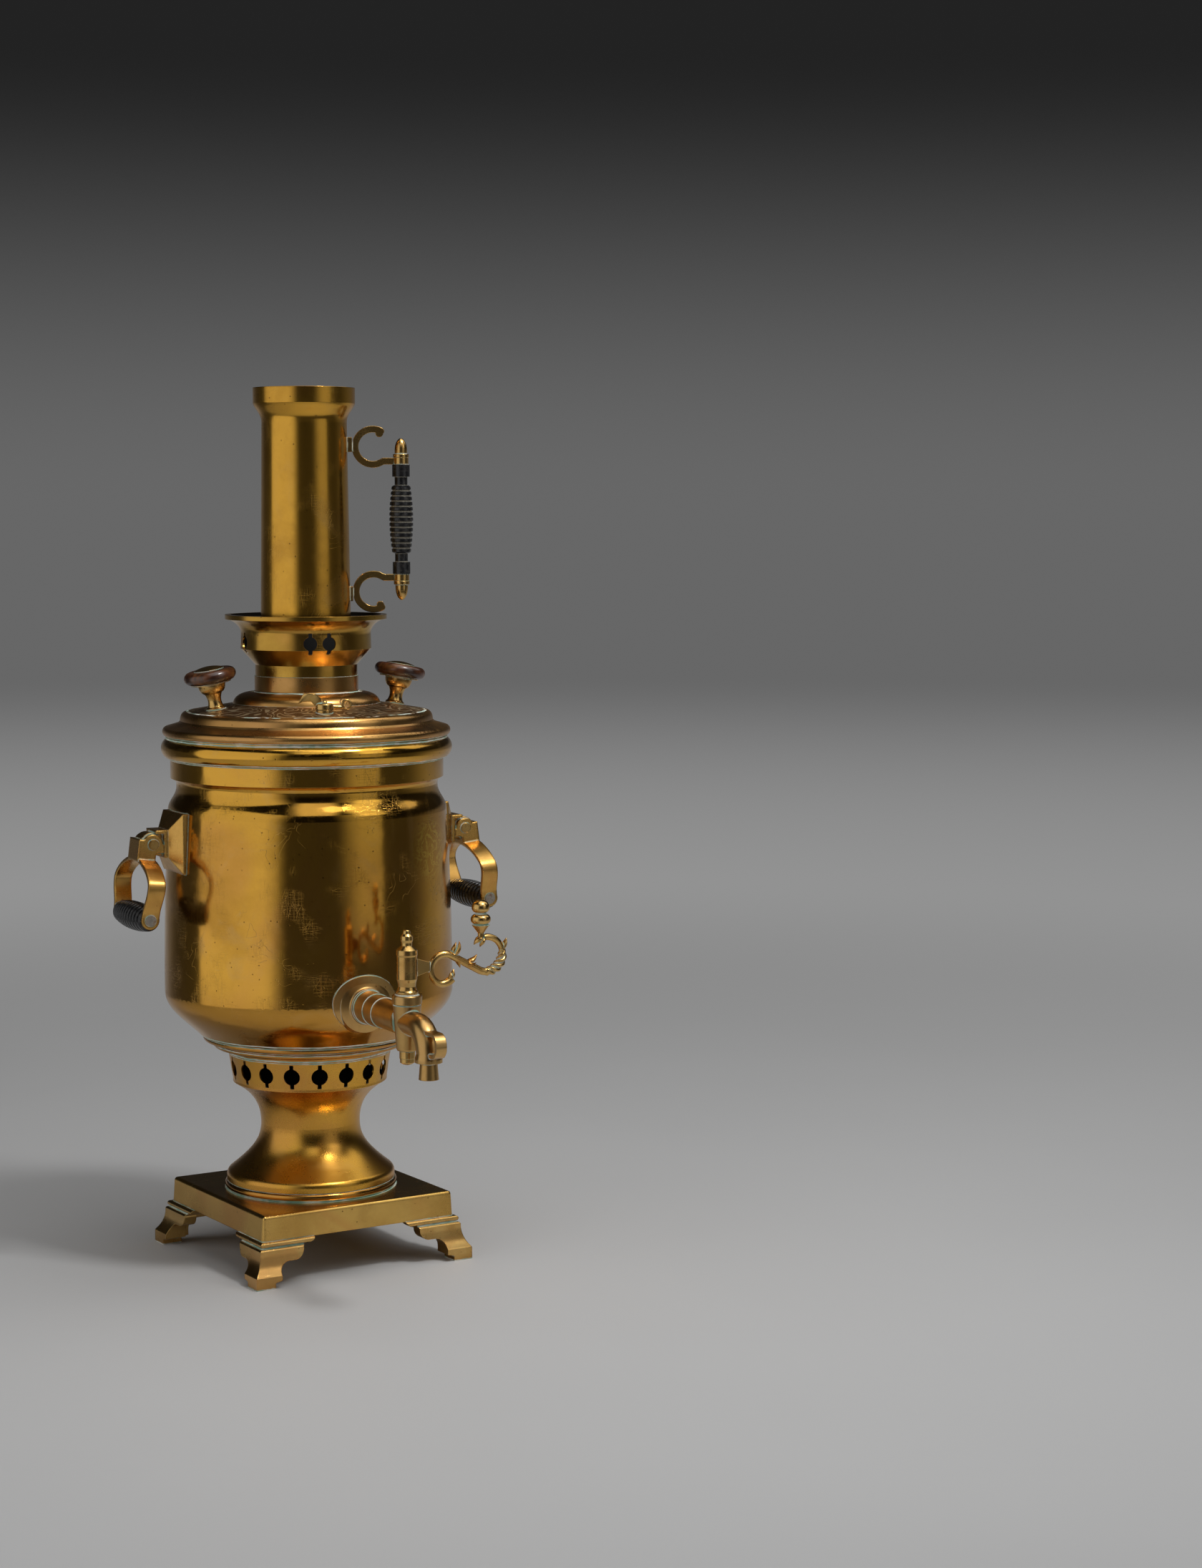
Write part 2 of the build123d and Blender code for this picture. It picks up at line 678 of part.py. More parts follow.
def knob_cap():
    """Low domed brass cap on top of the knob."""
    edge = knob_disc_top + 0.5
    top = knob_disc_top + knob_cap_height
    sides = Polyline((0, top), (0, knob_disc_top), (knob_cap_radius, knob_disc_top),
                     (knob_cap_radius, edge)).edges()
    return turned(make_face(sides + cap_arc(knob_cap_radius, edge, top)))


# ------------------------------------------------------------------ steam vent
def vent_place():
    """Frame of the steam vent: x to its eye, -y away from the urn's axis, z up its pin."""
    turn = radians(vent_turn)
    origin = (vent_reach * sin(turn), -vent_reach * cos(turn), deck_height(vent_reach))
    return Plane(origin=origin, x_dir=(cos(turn), sin(turn), 0), z_dir=(0, 0, 1))


def steam_hole(x, y):
    """Cutter for a steam hole at a place in the vent's frame."""
    return Pos(x, y, 0) * Cylinder(steam_hole_radius, 8 * vent_seat_height)


def steam_vent_seat():
    """Boss with the steam hole beside the pin, scribed to the lid's deck."""
    seat = disc(vent_seat_radius, -2, vent_seat_height, vent_pin_radius)
    return vent_place().location * (seat - steam_hole(steam_hole_reach, 0)) - lid_solid()


def vent_wing():
    """Bent wing that the cap is turned by, standing up from the hub."""
    low = vent_cap_bottom
    top = low + vent_wing_rise
    tip = -vent_wing_reach
    edges = Polyline((-1, low + 2.6), (-1, low + 0.5), (0.3 * tip, low + 0.4)).edges()
    edges += Bezier((0.3 * tip, low + 0.4), (0.6 * tip, low + 0.8), (0.8 * tip, low + 0.8 * vent_wing_lift),
                    (tip, low + vent_wing_lift)).edges()
    edges += Line((tip, low + vent_wing_lift), (0.86 * tip, top)).edges()
    edges += Bezier((0.86 * tip, top), (0.65 * tip, top + 1.2), (0.45 * tip, top + 0.6),
                    (0.3 * tip, top - 0.8)).edges()
    edges += Bezier((0.3 * tip, top - 0.8), (0.3 * tip, low + 0.6 * vent_wing_rise), (0.1 * tip, low + 5),
                    (-1, low + 2.6)).edges()
    bow = ThreePointArc((1.2 * tip, -0.4 * vent_wing_bow), (0.5 * tip, vent_wing_bow), (2, -0.6)).edges()
    bent = extrude(thickened(bow, vent_wing_wall / 2), 2 * top)
    return extrude(Plane.XZ * make_face(edges), 2 * vent_wing_bow, both=True) & bent


def steam_vent_cap():
    """Swivel cover: a hub with a hole, a bent wing on one side and a curled eye opposite."""
    low = vent_cap_bottom
    rim = vent_seat_radius + 0.2
    hub = turned_lines((0, low), (rim, low), (rim, low + 0.5 * vent_hub_height), (rim - 1.5, vent_cap_top),
                       (0, vent_cap_top))
    arm_reach = vent_eye_reach - 0.9 * vent_eye_radius
    arm = Pos((2.5 + arm_reach) / 2, 0, low + 1.6) * Box(arm_reach - 2.5, 4.6, 2.8)
    eye_middle = low + vent_eye_radius
    eye = along(Cylinder(vent_eye_radius, 3.6), (vent_eye_reach, 0, eye_middle), (0, 1, 0))
    curl_place = (vent_eye_reach - 0.8 * vent_eye_radius, 2.2, eye_middle + 0.55 * vent_eye_radius)
    curl = along(Cylinder(0.7 * vent_eye_radius, 3), curl_place, (0, 1, 0))
    eye_bore = along(Cylinder(vent_eye_bore, 4 * vent_eye_radius), (vent_eye_reach, 0, eye_middle), (0, 1, 0))
    cap = hub + vent_wing() + arm + eye + curl - eye_bore
    cap -= disc(vent_head_radius + side_gap, vent_cap_top, 3 * vent_wing_rise)
    cap -= disc(vent_pin_radius + pin_gap, 0, 3 * vent_wing_rise)
    swing = radians(vent_swing)
    return vent_place().location * (cap - steam_hole(steam_hole_reach * cos(swing), steam_hole_reach * sin(swing)))


def steam_vent_pin():
    """Pivot pin with a domed head."""
    top = vent_cap_top + side_gap
    sides = Polyline((0, top + vent_head_rise), (0, 0), (vent_pin_radius, 0), (vent_pin_radius, top),
                     (vent_head_radius, top), (vent_head_radius, top + 0.3)).edges()
    head = cap_arc(vent_head_radius, top + 0.3, top + vent_head_rise)
    return vent_place().location * turned(make_face(sides + head)) - lid_solid()


# ------------------------------------------------------------------ crown and chimney
def crown():
    """Teapot rest: sleeve over the flue, cup with vents, flared flange and the ledge for the pipe."""
    flange_top = crown_top - crown_rim
    cup = crown_cup_radius - 0.3
    edges = Polyline((crown_sleeve_radius, lid_neck_top), (crown_sleeve_radius, ledge_top),
                     (crown_cup_radius, crown_cup_foot), (cup, crown_cup_top)).edges()
    edges += Bezier((cup, crown_cup_top), (cup + 0.2, crown_cup_top + 0.55 * crown_flange_rise),
                    (crown_flange_radius - 6, flange_top - 1), (crown_flange_radius - 1, flange_top)).edges()
    body = sheet(edges, crown_wall)
    body += disc(crown_flange_radius, flange_top, crown_top, crown_flange_radius - 4.2)
    body += disc(crown_sleeve_radius - crown_wall / 2, ledge_top - crown_wall, ledge_top, pipe_seat_bore)
    middle = (crown_cup_foot + crown_cup_top) / 2 - 0.6
    cutter = keyhole(crown_vent_radius, crown_vent_slot_width, crown_vent_slot_length, crown_cup_radius)
    for shift in (-crown_vent_pitch / 2, crown_vent_pitch / 2):
        body -= around(Pos(0, 0, middle) * cutter, crown_vent_pairs, crown_vent_turn - 90 + shift)
    return body


def chimney_pipe():
    """Chimney: a tail in the flue, a bead on the ledge, a slightly tapered pipe, a flare and a band."""
    edges = Polyline((pipe_foot_radius, ledge_top - pipe_tail), (pipe_foot_radius, pipe_taper_foot),
                     (pipe_neck_radius, pipe_flare_foot)).edges()
    edges += Bezier((pipe_neck_radius, pipe_flare_foot),
                    (pipe_neck_radius, pipe_flare_foot + 0.5 * pipe_flare_height),
                    (pipe_top_radius - 1.6, pipe_band_foot - 0.35 * pipe_flare_height),
                    (pipe_top_radius, pipe_band_foot)).edges()
    edges += Line((pipe_top_radius, pipe_band_foot), (pipe_top_radius, pipe_top)).edges()
    inside = pipe_foot_radius - pipe_wall / 2
    bead = disc(pipe_foot_radius + pipe_bead, ledge_top, ledge_top + pipe_bead, inside)
    return sheet(edges, pipe_wall) + bead


def pipe_solid():
    """The pipe's outer form, filled, for scribing the pads."""
    return turned_lines((0, pipe_taper_foot), (pipe_foot_radius, pipe_taper_foot),
                        (pipe_neck_radius, pipe_flare_foot), (0, pipe_flare_foot))


def handle_frame():
    """Frame of the chimney handle: x away from the pipe, y up, at the middle of the grip's height."""
    turn = radians(pipe_handle_turn)
    return Plane(origin=(0, 0, ledge_top + pipe_handle_height), x_dir=(cos(turn), sin(turn), 0),
                 z_dir=(sin(turn), -cos(turn), 0)).location


def on_pipe_handle(shape):
    """Put a shape made about +Z, with z = 0 at the grip's middle, on the chimney handle."""
    return handle_frame() * along(shape, (pipe_handle_reach, 0, 0), (0, 1, 0))


def pipe_scroll():
    """Upper C-scroll: a flat strap curled over, with a ball in the curl and an arm to the ferrule."""
    middle = scroll_spacing / 2
    arm = middle - scroll_arm_drop
    centre = Vector(scroll_reach, middle)
    opening = radians(scroll_opening)
    tip = centre + Vector(cos(opening), sin(opening)) * scroll_radius
    leave = centre + Vector(sin(radians(18)), -cos(radians(18))) * scroll_radius
    line = ThreePointArc(tip, centre - Vector(scroll_radius, 0), leave).edges()
    line += Line(leave, (leave.X + 4, arm)).edges()
    line += Line((leave.X + 4, arm), (pipe_handle_reach, arm)).edges()
    strap = thickened(line, scroll_width / 2)
    ball = Pos(tip.X - 1.2, tip.Y - 1.6) * Circle(scroll_ball_radius)
    shape = extrude(strap + ball, scroll_depth / 2, both=True)
    return shape - along(Cylinder(ferrule_radius, scroll_spacing), (pipe_handle_reach, middle, 0), (0, 1, 0))


def pipe_pad():
    """Pad under the upper scroll, scribed to the pipe once it is in place."""
    outer = scroll_reach - scroll_radius - scroll_width / 2
    depth = outer - pipe_neck_radius + pad_width / 2
    return Pos(outer - depth / 2 + 0.1, scroll_spacing / 2 + 1.5, 0) * Box(depth, pad_height, pad_width)


def pipe_ferrule():
    """Upper brass ferrule at the end of the grip, which the scroll's arm is soldered to."""
    return disc(ferrule_radius, ferrule_bottom, ferrule_bottom + ferrule_height, grip_rod_radius)


def pipe_acorn():
    """Acorn nut that closes the upper end of the rod."""
    bottom = ferrule_bottom + ferrule_height
    neck = bottom + acorn_ring
    top = neck + acorn_height
    edges = Polyline((0, top), (0, bottom), (ferrule_radius + 0.2, bottom), (ferrule_radius + 0.2, neck),
                     (acorn_radius, neck)).edges()
    edges += Bezier((acorn_radius, neck), (acorn_radius + 0.6, neck + 0.62 * acorn_height),
                    (0.55 * acorn_radius, top), (0, top)).edges()
    return turned(make_face(edges))


def ribbed(half_length, end_radius, middle_radius, count):
    """Outline of a barrel-shaped grip with V grooves between its ribs, from bottom to top."""
    pitch = 2 * half_length / count
    points = []
    for k in range(4 * count + 1):
        z = -half_length + k * pitch / 4
        radius = middle_radius - (middle_radius - end_radius) * (z / half_length) ** 2
        if k % 4 == 0:
            points.append((radius - rib_depth, z))
        elif k % 4 != 2:
            points.append((radius, z))
    return points


def pipe_grip():
    """Black turned grip of the chimney handle: collars, necks and a ribbed barrel."""
    rib_half = ferrule_bottom - tube_collar_height - tube_neck_height
    neck = rib_half + tube_neck_height
    low = [(tube_collar_radius, -ferrule_bottom), (tube_collar_radius, -neck), (tube_neck_radius, -neck),
           (tube_neck_radius, -rib_half)]
    high = [(radius, -z) for radius, z in reversed(low)]
    barrel = ribbed(rib_half, tube_end_radius, tube_rib_radius, tube_rib_count)
    return turned_lines((grip_rod_radius, -ferrule_bottom), *low, *barrel, *high,
                        (grip_rod_radius, ferrule_bottom))


def pipe_grip_rod():
    """Steel rod through the grip and both ferrules."""
    half = ferrule_bottom + ferrule_height
    return disc(grip_rod_radius, -half, half)


# ------------------------------------------------------------------ tap
def tap_axis(shape):
    """Put a shape made about +Z, with z as the distance from the urn's axis, along the tap."""
    return along(shape, (0, 0, tap_height), (0, -1, 0))


def on_plug(shape):
    """Put a shape made about +Z, with z = 0 at the waterway, on the plug's axis."""
    return Pos(0, -barrel_reach, tap_height) * shape


def tap_flange():
    """Rosette soldered to the urn: a thin oval plate bent to the wall, with a dome on it."""
    oval = Plane(origin=(0, -urn_radius / 2, tap_height + flange_lift), x_dir=(1, 0, 0), z_dir=(0, -1, 0))
    plate = extrude(oval * Ellipse(flange_width / 2, flange_height / 2), urn_radius)
    tip_radius = tap_ring_radius + 0.4
    dome = Polyline((tip_radius, tap_ring_start), (0, tap_ring_start), (0, urn_radius - 16),
                    (dome_radius + 2.5, urn_radius - 16), (dome_radius, urn_radius)).edges()
    dome += Bezier((dome_radius, urn_radius), (dome_radius - 4, urn_radius + 2.6),
                   (tip_radius, urn_radius + 1), (tip_radius, tap_ring_start)).edges()
    body = (plate & Pos(0, -flange_wall, 0) * urn_solid()) + tap_axis(turned(make_face(dome)))
    return body - urn_solid() - tap_axis(disc(tap_bore, 0, 2 * urn_radius))


def plug_cone(gap):
    """The plug's cone, from the barrel's top to its foot, grown by a gap."""
    return turned_lines((0, -barrel_drop), (plug_foot_radius + gap, -barrel_drop),
                        (plug_top_radius + gap, barrel_rise), (0, barrel_rise))


def spout_bar(radius, drop):
    """A round bar bent along the middle of the waterway, from the plug down to a drop below it."""
    run = spout_reach - spout_bend
    half = spout_bend * sin(pi / 4)
    line = Line((0, 0, 0), (0, -run, 0)).edges()
    line += ThreePointArc((0, -run, 0), (0, -run - half, half - spout_bend),
                          (0, -spout_reach, -spout_bend)).edges()
    line += Line((0, -spout_reach, -spout_bend), (0, -spout_reach, -drop)).edges()
    return sweep(Plane(origin=(0, 0, 0), z_dir=(0, -1, 0)) * Circle(radius), path=Wire(line))


def tap_tube():
    """Tube of the tap with its rings, each a little smaller than the one before."""
    points = [(0, tap_ring_start)]
    for k in range(tap_ring_count):
        radius = tap_ring_radius - k * tap_ring_taper
        place = tap_ring_start + k * tap_ring_pitch
        points += [(radius, place), (radius, place + tap_ring_width), (radius - 0.6, place + tap_ring_width)]
    end = barrel_reach - 0.5 * barrel_radius
    return tap_axis(turned_lines(*points, (tap_tube_radius, end), (0, end)))


def tap_barrel():
    """Upright barrel with a banded rim."""
    band = barrel_rise - barrel_band
    bold = barrel_radius + 0.5
    return turned_lines((0, -barrel_drop), (barrel_foot_radius - 0.6, -barrel_drop),
                        (barrel_foot_radius, -barrel_drop + 1), (barrel_radius, band),
                        (barrel_radius - 0.5, band + 0.6), (bold, band + 1.3), (bold, barrel_rise - 0.8),
                        (barrel_radius, barrel_rise), (0, barrel_rise))


def tap_body():
    """Tube, barrel, elbow and nozzle, cast in one, bored through and reamed for the plug."""
    foot_edge = -spout_drop + 2.5
    spout = turned_lines((0, -spout_drop - nozzle_height), (nozzle_radius, -spout_drop - nozzle_height),
                         (nozzle_top_radius, -spout_drop), (spout_foot_radius, -spout_drop),
                         (spout_foot_radius, foot_edge), (spout_radius - 0.3, foot_edge + 5),
                         (0, foot_edge + 5))
    body = tap_tube() + on_plug(tap_barrel() + spout_bar(spout_radius, spout_drop - 1))
    body += on_plug(Pos(0, -spout_reach, 0) * spout)
    body -= on_plug(spout_bar(tap_bore, spout_drop + 2 * nozzle_height))
    return body - tap_axis(disc(tap_bore, 0, barrel_reach)) - on_plug(plug_cone(pin_gap))


def spout_loop():
    """Thumb loop in front of the elbow, a strap bent in a D."""
    bend = (loop_rise + loop_drop) / 2 - 0.5
    edge = spout_reach + loop_reach
    line = Line((-spout_reach, loop_rise), (bend - edge, loop_rise)).edges()
    line += ThreePointArc((bend - edge, loop_rise), (-edge, loop_rise - bend - 0.5),
                          (bend - edge, -loop_drop)).edges()
    line += Line((bend - edge, -loop_drop), (-spout_reach, -loop_drop)).edges()
    strap = thickened(line, loop_thickness / 2)
    shape = extrude(Plane.YZ * strap, loop_width / 2, both=True)
    return on_plug(shape - spout_bar(spout_radius, spout_drop)) - tap_body()


# ------------------------------------------------------------------ tap key
def key_lug():
    """Tapered lug on the side of the key, which the branch is brazed to."""
    root = key_body_radius - 1.5
    middle = key_top - key_lug_drop
    outline = Polyline((root, middle + key_lug_height / 2), (root, middle - key_lug_height / 2),
                       (key_lug_reach, middle - key_lug_tip / 2), (key_lug_reach, middle + key_lug_tip / 2),
                       close=True)
    return extrude(Plane.XZ * make_face(outline), key_lug_width / 2, both=True)


def tap_key():
    """Plug with its cross port, threaded tail, turned head and the lug for the branch."""
    low = barrel_rise + side_gap
    body = key_body_radius
    neck = body - 3.5
    head = turned_lines((0, 0), (plug_top_radius, barrel_rise), (plug_top_radius, low), (body + 0.5, low),
                        (body + 0.7, low + 2), (body - 0.2, low + 3.2), (body - 1.1, low + 5.6),
                        (body - 0.7, low + 9), (body, low + 11), (body, key_top - 19),
                        (body + 0.3, key_top - 18),
                        (body + 0.2, key_top - 14.4), (neck, key_top - 11.4), (neck, key_top - 9.2),
                        (neck + 0.6, key_top - 7.4), (neck + 0.5, key_top - 4.6), (neck - 1.0, key_top - 2.8),
                        (neck - 1.3, key_top - 0.6), (neck - 2.1, key_top), (0, key_top))
    tail = disc(plug_tail_radius, washer_bottom - nut_height + 1.5, -barrel_drop)
    port = along(Cylinder(plug_port_radius, 8 * plug_top_radius), (0, 0, 0), (1, 0, 0))
    return on_plug(plug_cone(0) + (head - disc(2 * body, -1, barrel_rise)) + tail + key_lug() - port)


def branch_points():
    """Middles of the hook and the loop of the branch, and where the straight stem meets each."""
    loop = Vector(branch_loop_reach, branch_middle + branch_loop_lift)
    hook = Vector(key_lug_reach + branch_hook_radius + branch_radius - 0.6, branch_middle)
    between = loop - hook
    cross = (branch_hook_radius + branch_loop_radius) / between.length
    tilt = atan2(between.Y, between.X) - atan2(cross, sqrt(1 - cross ** 2))
    normal = Vector(-sin(tilt), cos(tilt))
    return hook, loop, hook + normal * branch_hook_radius, loop - normal * branch_loop_radius


def bar_along(line, radius):
    """A round bar swept along a line drawn in the plane of the branch, with rounded ends."""
    path = Plane.XZ * Wire(line)
    start = path.position_at(0)
    bar = sweep(Plane(origin=start, z_dir=path.tangent_at(0)) * Circle(radius), path=path)
    return bar + Pos(*start) * Sphere(radius) + Pos(*path.position_at(1)) * Sphere(radius)


def leaf(root, angle, curl=0, size=1.0):
    """Pointed leaf that springs from the branch at an angle in its plane and curls by another."""
    middle = 0.55 * size * leaf_length
    wide, narrow = size * leaf_radius, 0.72 * size * leaf_radius
    first = (cos(radians(angle)), 0, sin(radians(angle)))
    second = (cos(radians(angle + curl)), 0, sin(radians(angle + curl)))
    bend = (root.X + middle * first[0], 0, root.Y + middle * first[2])
    at_foot = (Align.CENTER, Align.CENTER, Align.MIN)
    blade = along(Cone(wide, narrow, middle, align=at_foot), (root.X, 0, root.Y), first)
    tip = along(Cone(narrow, 0.35, 0.9 * middle, align=at_foot), bend, second)
    return blade + Pos(*bend) * Sphere(narrow) + tip


def key_branch():
    """Cast branch of the key: an open hook, a slanting stem, an open loop and acanthus leaves."""
    hook, loop, leave, arrive = branch_points()
    low = hook + Vector(0.97, -0.24) * branch_hook_radius
    right = loop + Vector(branch_loop_radius, 0)
    end = loop + Vector(-0.72, 0.69) * branch_loop_radius
    line = ThreePointArc(low, hook - Vector(branch_hook_radius, 0), leave).edges()
    line += Line(leave, arrive).edges()
    line += ThreePointArc(arrive, right, end).edges()
    below = loop + Vector(-0.1, -0.995) * branch_loop_radius
    rope = ThreePointArc(below, loop + Vector(0.77, -0.64) * branch_loop_radius,
                         loop + Vector(0.97, 0.24) * branch_loop_radius).edges()
    stem = arrive - leave
    thick = leave + stem * 0.12
    cone = Cone(stem_radius, branch_radius, 0.7 * stem.length, align=(Align.CENTER, Align.CENTER, Align.MIN))
    shape = bar_along(line, branch_radius) + bar_along(rope, rope_radius)
    shape += along(cone, (thick.X, 0, thick.Y), (stem.X, 0, stem.Y))
    shape += leaf(leave + stem * 0.1, 64, 22) + leaf(leave + stem * 0.18, 306, -30, 1.05)
    shape += leaf(leave + stem * 0.5, 14, 40, 1.05)
    shape += leaf(low, 78, 34, 0.7) + leaf(hook + Vector(0.8, -0.6) * branch_hook_radius, 28, 50, 0.75)
    shape += leaf(loop + Vector(0.93, 0.36) * branch_loop_radius, 34, 30) + leaf(end, 196, 26, 1.2)
    return on_plug(shape - key_lug())


def key_finial():
    """Turned finial on top of the branch's loop: flared cup, cushion and knob."""
    base = branch_middle + branch_loop_lift + branch_loop_radius + branch_radius + 1.2
    cup = 0.26 * finial_height
    cushion = 0.56 * finial_height
    neck = 0.6 * finial_height
    narrow = finial_cup_radius - 1.8
    edges = Polyline((0, finial_height), (0, -4), (2.2, -4), (2.2, 0), (finial_cup_radius, cup - 0.6),
                     (narrow, cup)).edges()
    edges += ThreePointArc((narrow, cup), (finial_cushion_radius, (cup + cushion) / 2),
                           (narrow, cushion)).edges()
    edges += Line((narrow, cushion), (narrow - 1.4, neck)).edges()
    edges += Bezier((narrow - 1.4, neck), (1.35 * finial_knob_radius, neck + 0.06 * finial_height),
                    (finial_knob_radius, finial_height), (0, finial_height)).edges()
    return on_plug(Pos(finial_reach, 0, base) * turned(make_face(edges))) - key_branch()


def tap_washer():
    """Washer under the barrel that draws the plug down."""
    return on_plug(disc(washer_radius, washer_bottom, washer_bottom + washer_height, plug_tail_radius))


def tap_nut():
    """Domed round nut on the plug's tail."""
    low = washer_bottom - nut_height
    flat = washer_bottom - 0.6 * nut_height
    sides = Polyline((0, low), (0, washer_bottom), (nut_radius, washer_bottom), (nut_radius, flat)).edges()
    dome = cap_arc(nut_radius, flat, low)
    return on_plug(turned(make_face(sides + dome)) - disc(plug_tail_radius, low + 1.5, washer_bottom + 1))


# ------------------------------------------------------------------ drop handles
def on_hinge(shape, lean=0.0):
    """Put a shape made about the left hinge (y along the pin, -x outwards) on the left side."""
    return Pos(-hinge_reach, 0, hinge_height) * Rot(0, lean, 0) * shape


def slab(inner, outer, low, high, width):
    """A block between two distances in front of the left hinge's pin and two heights."""
    return Pos(-(inner + outer) / 2, 0, (low + high) / 2) * Box(outer - inner, width, high - low)


def lip_edge():
    """How far in front of the pin the bracket's lip ends, so that the lifted bail stops against it."""
    lifted = radians(bail_lean + bail_travel)
    ear_corner = sqrt(ear_radius ** 2 - bail_crown ** 2)
    return ear_corner * cos(lifted) - bail_crown * sin(lifted) - side_gap


def handle_bracket():
    """Left bracket: a pyramid on the wall, a block with a lip above and a round tongue in front."""
    half = bracket_half_height
    foot_place = bracket_plate_reach - hinge_reach
    neck_place = bracket_neck_reach - hinge_reach
    face = -knuckle_radius - side_gap
    foot_frame = Plane(origin=(-foot_place, 0, 0), x_dir=(0, 1, 0), z_dir=(-1, 0, 0))
    neck_frame = Plane(origin=(-neck_place, 0, 0), x_dir=(0, 1, 0), z_dir=(-1, 0, 0))
    body = loft([foot_frame * Rectangle(bracket_plate_width, bracket_plate_height),
                 neck_frame * Rectangle(hinge_width, 2 * half)])
    body += slab(foot_place - bracket_plate_width / 4, foot_place, -bracket_plate_height / 2,
                 bracket_plate_height / 2, bracket_plate_width)
    body += slab(neck_place, face, -half, half, hinge_width)
    body += slab(face, lip_edge(), half - bracket_lip, half, hinge_width)
    body += crosswise(knuckle_radius, -tongue_width / 2, tongue_width / 2)
    body += slab(face, 0, -knuckle_radius, half - bracket_lip, tongue_width)
    return on_hinge(body - crosswise(hinge_pin_radius, -hinge_width, hinge_width)) - urn_solid()


def hinge_pin():
    """Left hinge pin, riveted over both ears."""
    half = hinge_width / 2 + side_gap
    shank = crosswise(hinge_pin_radius, -half, half)
    left = crosswise(hinge_head_radius, -half - hinge_head_height, -half)
    return on_hinge(shank + left + crosswise(hinge_head_radius, half, half + hinge_head_height))


def hoop_face():
    """The bail's strap seen along the urn's radius: a low arch whose ends curve in to the grip."""
    half = (hoop_width - strap_thickness) / 2
    top = -bail_neck_height - strap_thickness / 2
    bow = 0.5523
    right = Bezier((0, top), (bow * half, top), (half, -hoop_drop + bow * (top + hoop_drop)),
                   (half, -hoop_drop)).edges()
    right += TangentArc((half, -hoop_drop), (grip_span / 2, -grip_drop), tangent=(0, -1)).edges()
    left = Bezier((-half, -hoop_drop), (-half, -hoop_drop + bow * (top + hoop_drop)), (-bow * half, top),
                  (0, top)).edges()
    left = TangentArc((-half, -hoop_drop), (-grip_span / 2, -grip_drop), tangent=(0, -1)).edges() + left
    return thickened(left + right, strap_thickness / 2)


def grip_place(shape):
    """Put a shape made along the grip (y) into the bail's frame."""
    return Pos(-strap_offset, 0, -grip_drop) * shape


def bail_head():
    """Ears, crown and neck of the bail, cleared for the bracket's tongue."""
    inner = tongue_width + 2 * side_gap
    cleared = knuckle_radius + side_gap
    low = -bail_neck_height - strap_thickness
    head = crosswise(ear_radius, -hinge_width / 2, hinge_width / 2)
    head += slab(-bail_heel, cleared + bail_wall, low, bail_crown, hinge_width)
    head -= crosswise(cleared, -inner / 2, inner / 2)
    head -= slab(-cleared, 0, -cleared, cleared, inner)
    return head


def handle_bail():
    """Left bail: its head with two heels that rest on the bracket, the strap and the grip's end discs."""
    inner = tongue_width / 2 + side_gap
    face = knuckle_radius + side_gap - stop_gap
    heel = slab(-face, 0, bail_crown - ear_radius - 2, -0.5, hinge_width)
    heel -= slab(-2 * face, face, -3 * face, face, 2 * inner)
    strap = extrude(Plane.YZ * hoop_face(), strap_width / 2, both=True)
    body = bail_head() + Pos(-strap_offset, 0, 0) * strap
    half = grip_disc_thickness / 2
    for place in (-grip_span / 2, grip_span / 2):
        body += grip_place(crosswise(grip_disc_radius, place - half, place + half))
    body -= grip_place(crosswise(grip_rod_radius, -hoop_width, hoop_width))
    for outer in (-hoop_width, grip_span / 2 + half):
        body -= grip_place(crosswise(grip_head_radius, outer, outer + hoop_width - grip_span / 2 - half))
    body = Rot(0, bail_lean, 0) * body + heel
    return on_hinge(body - crosswise(hinge_pin_radius + pin_gap, -hinge_width, hinge_width))


def handle_grip():
    """Left ribbed grip."""
    half = (grip_span - grip_disc_thickness) / 2
    outline = ribbed(half, grip_end_radius, grip_radius, grip_rib_count)
    grip = turned_lines((grip_rod_radius, -half), *outline, (grip_rod_radius, half))
    return on_hinge(grip_place(Rot(90, 0, 0) * grip), bail_lean)


def grip_rod():
    """Left grip's rod with a riveted head at each end."""
    half = (grip_span + grip_disc_thickness) / 2
    rod = crosswise(grip_rod_radius, -half, half)
    rod += crosswise(grip_head_radius, -half - grip_head_height, -half)
    return on_hinge(grip_place(rod + crosswise(grip_head_radius, half, half + grip_head_height)), bail_lean)


# ------------------------------------------------------------------ all pieces
pieces = {
    "base_plate": Rot(0, 0, base_turn) * base_plate(),
    "plinth_ring": plinth_ring(),
    "pedestal": pedestal(),
    "vent_gallery": vent_gallery(),
    "bottom_rings": bottom_rings(),
    "urn_body": urn_body(),
    "rim_collar": rim_collar(),
    "flue_tube": flue_tube(),
    "grate": grate(),
    "tap_flange": tap_flange(),
    "tap_body": tap_body(),
    "spout_loop": spout_loop(),
    "tap_key": tap_key(),
    "key_branch": key_branch(),
    "key_finial": key_finial(),
    "tap_washer": tap_washer(),
    "tap_nut": tap_nut(),
    "lid": lid(),
    "lid_skirt": lid_skirt(),
    "steam_vent_seat": steam_vent_seat(),
    "steam_vent_cap": steam_vent_cap(),
    "steam_vent_pin": steam_vent_pin(),
    "crown": crown(),
    "chimney_pipe": chimney_pipe(),
    "pipe_grip": on_pipe_handle(pipe_grip()),
    "pipe_grip_rod": on_pipe_handle(pipe_grip_rod()),
}
for name, turn in (("front_left", 0), ("front_right", 90), ("back_right", 180), ("back_left", 270)):
    pieces["foot_" + name] = Rot(0, 0, base_turn + turn) * foot()
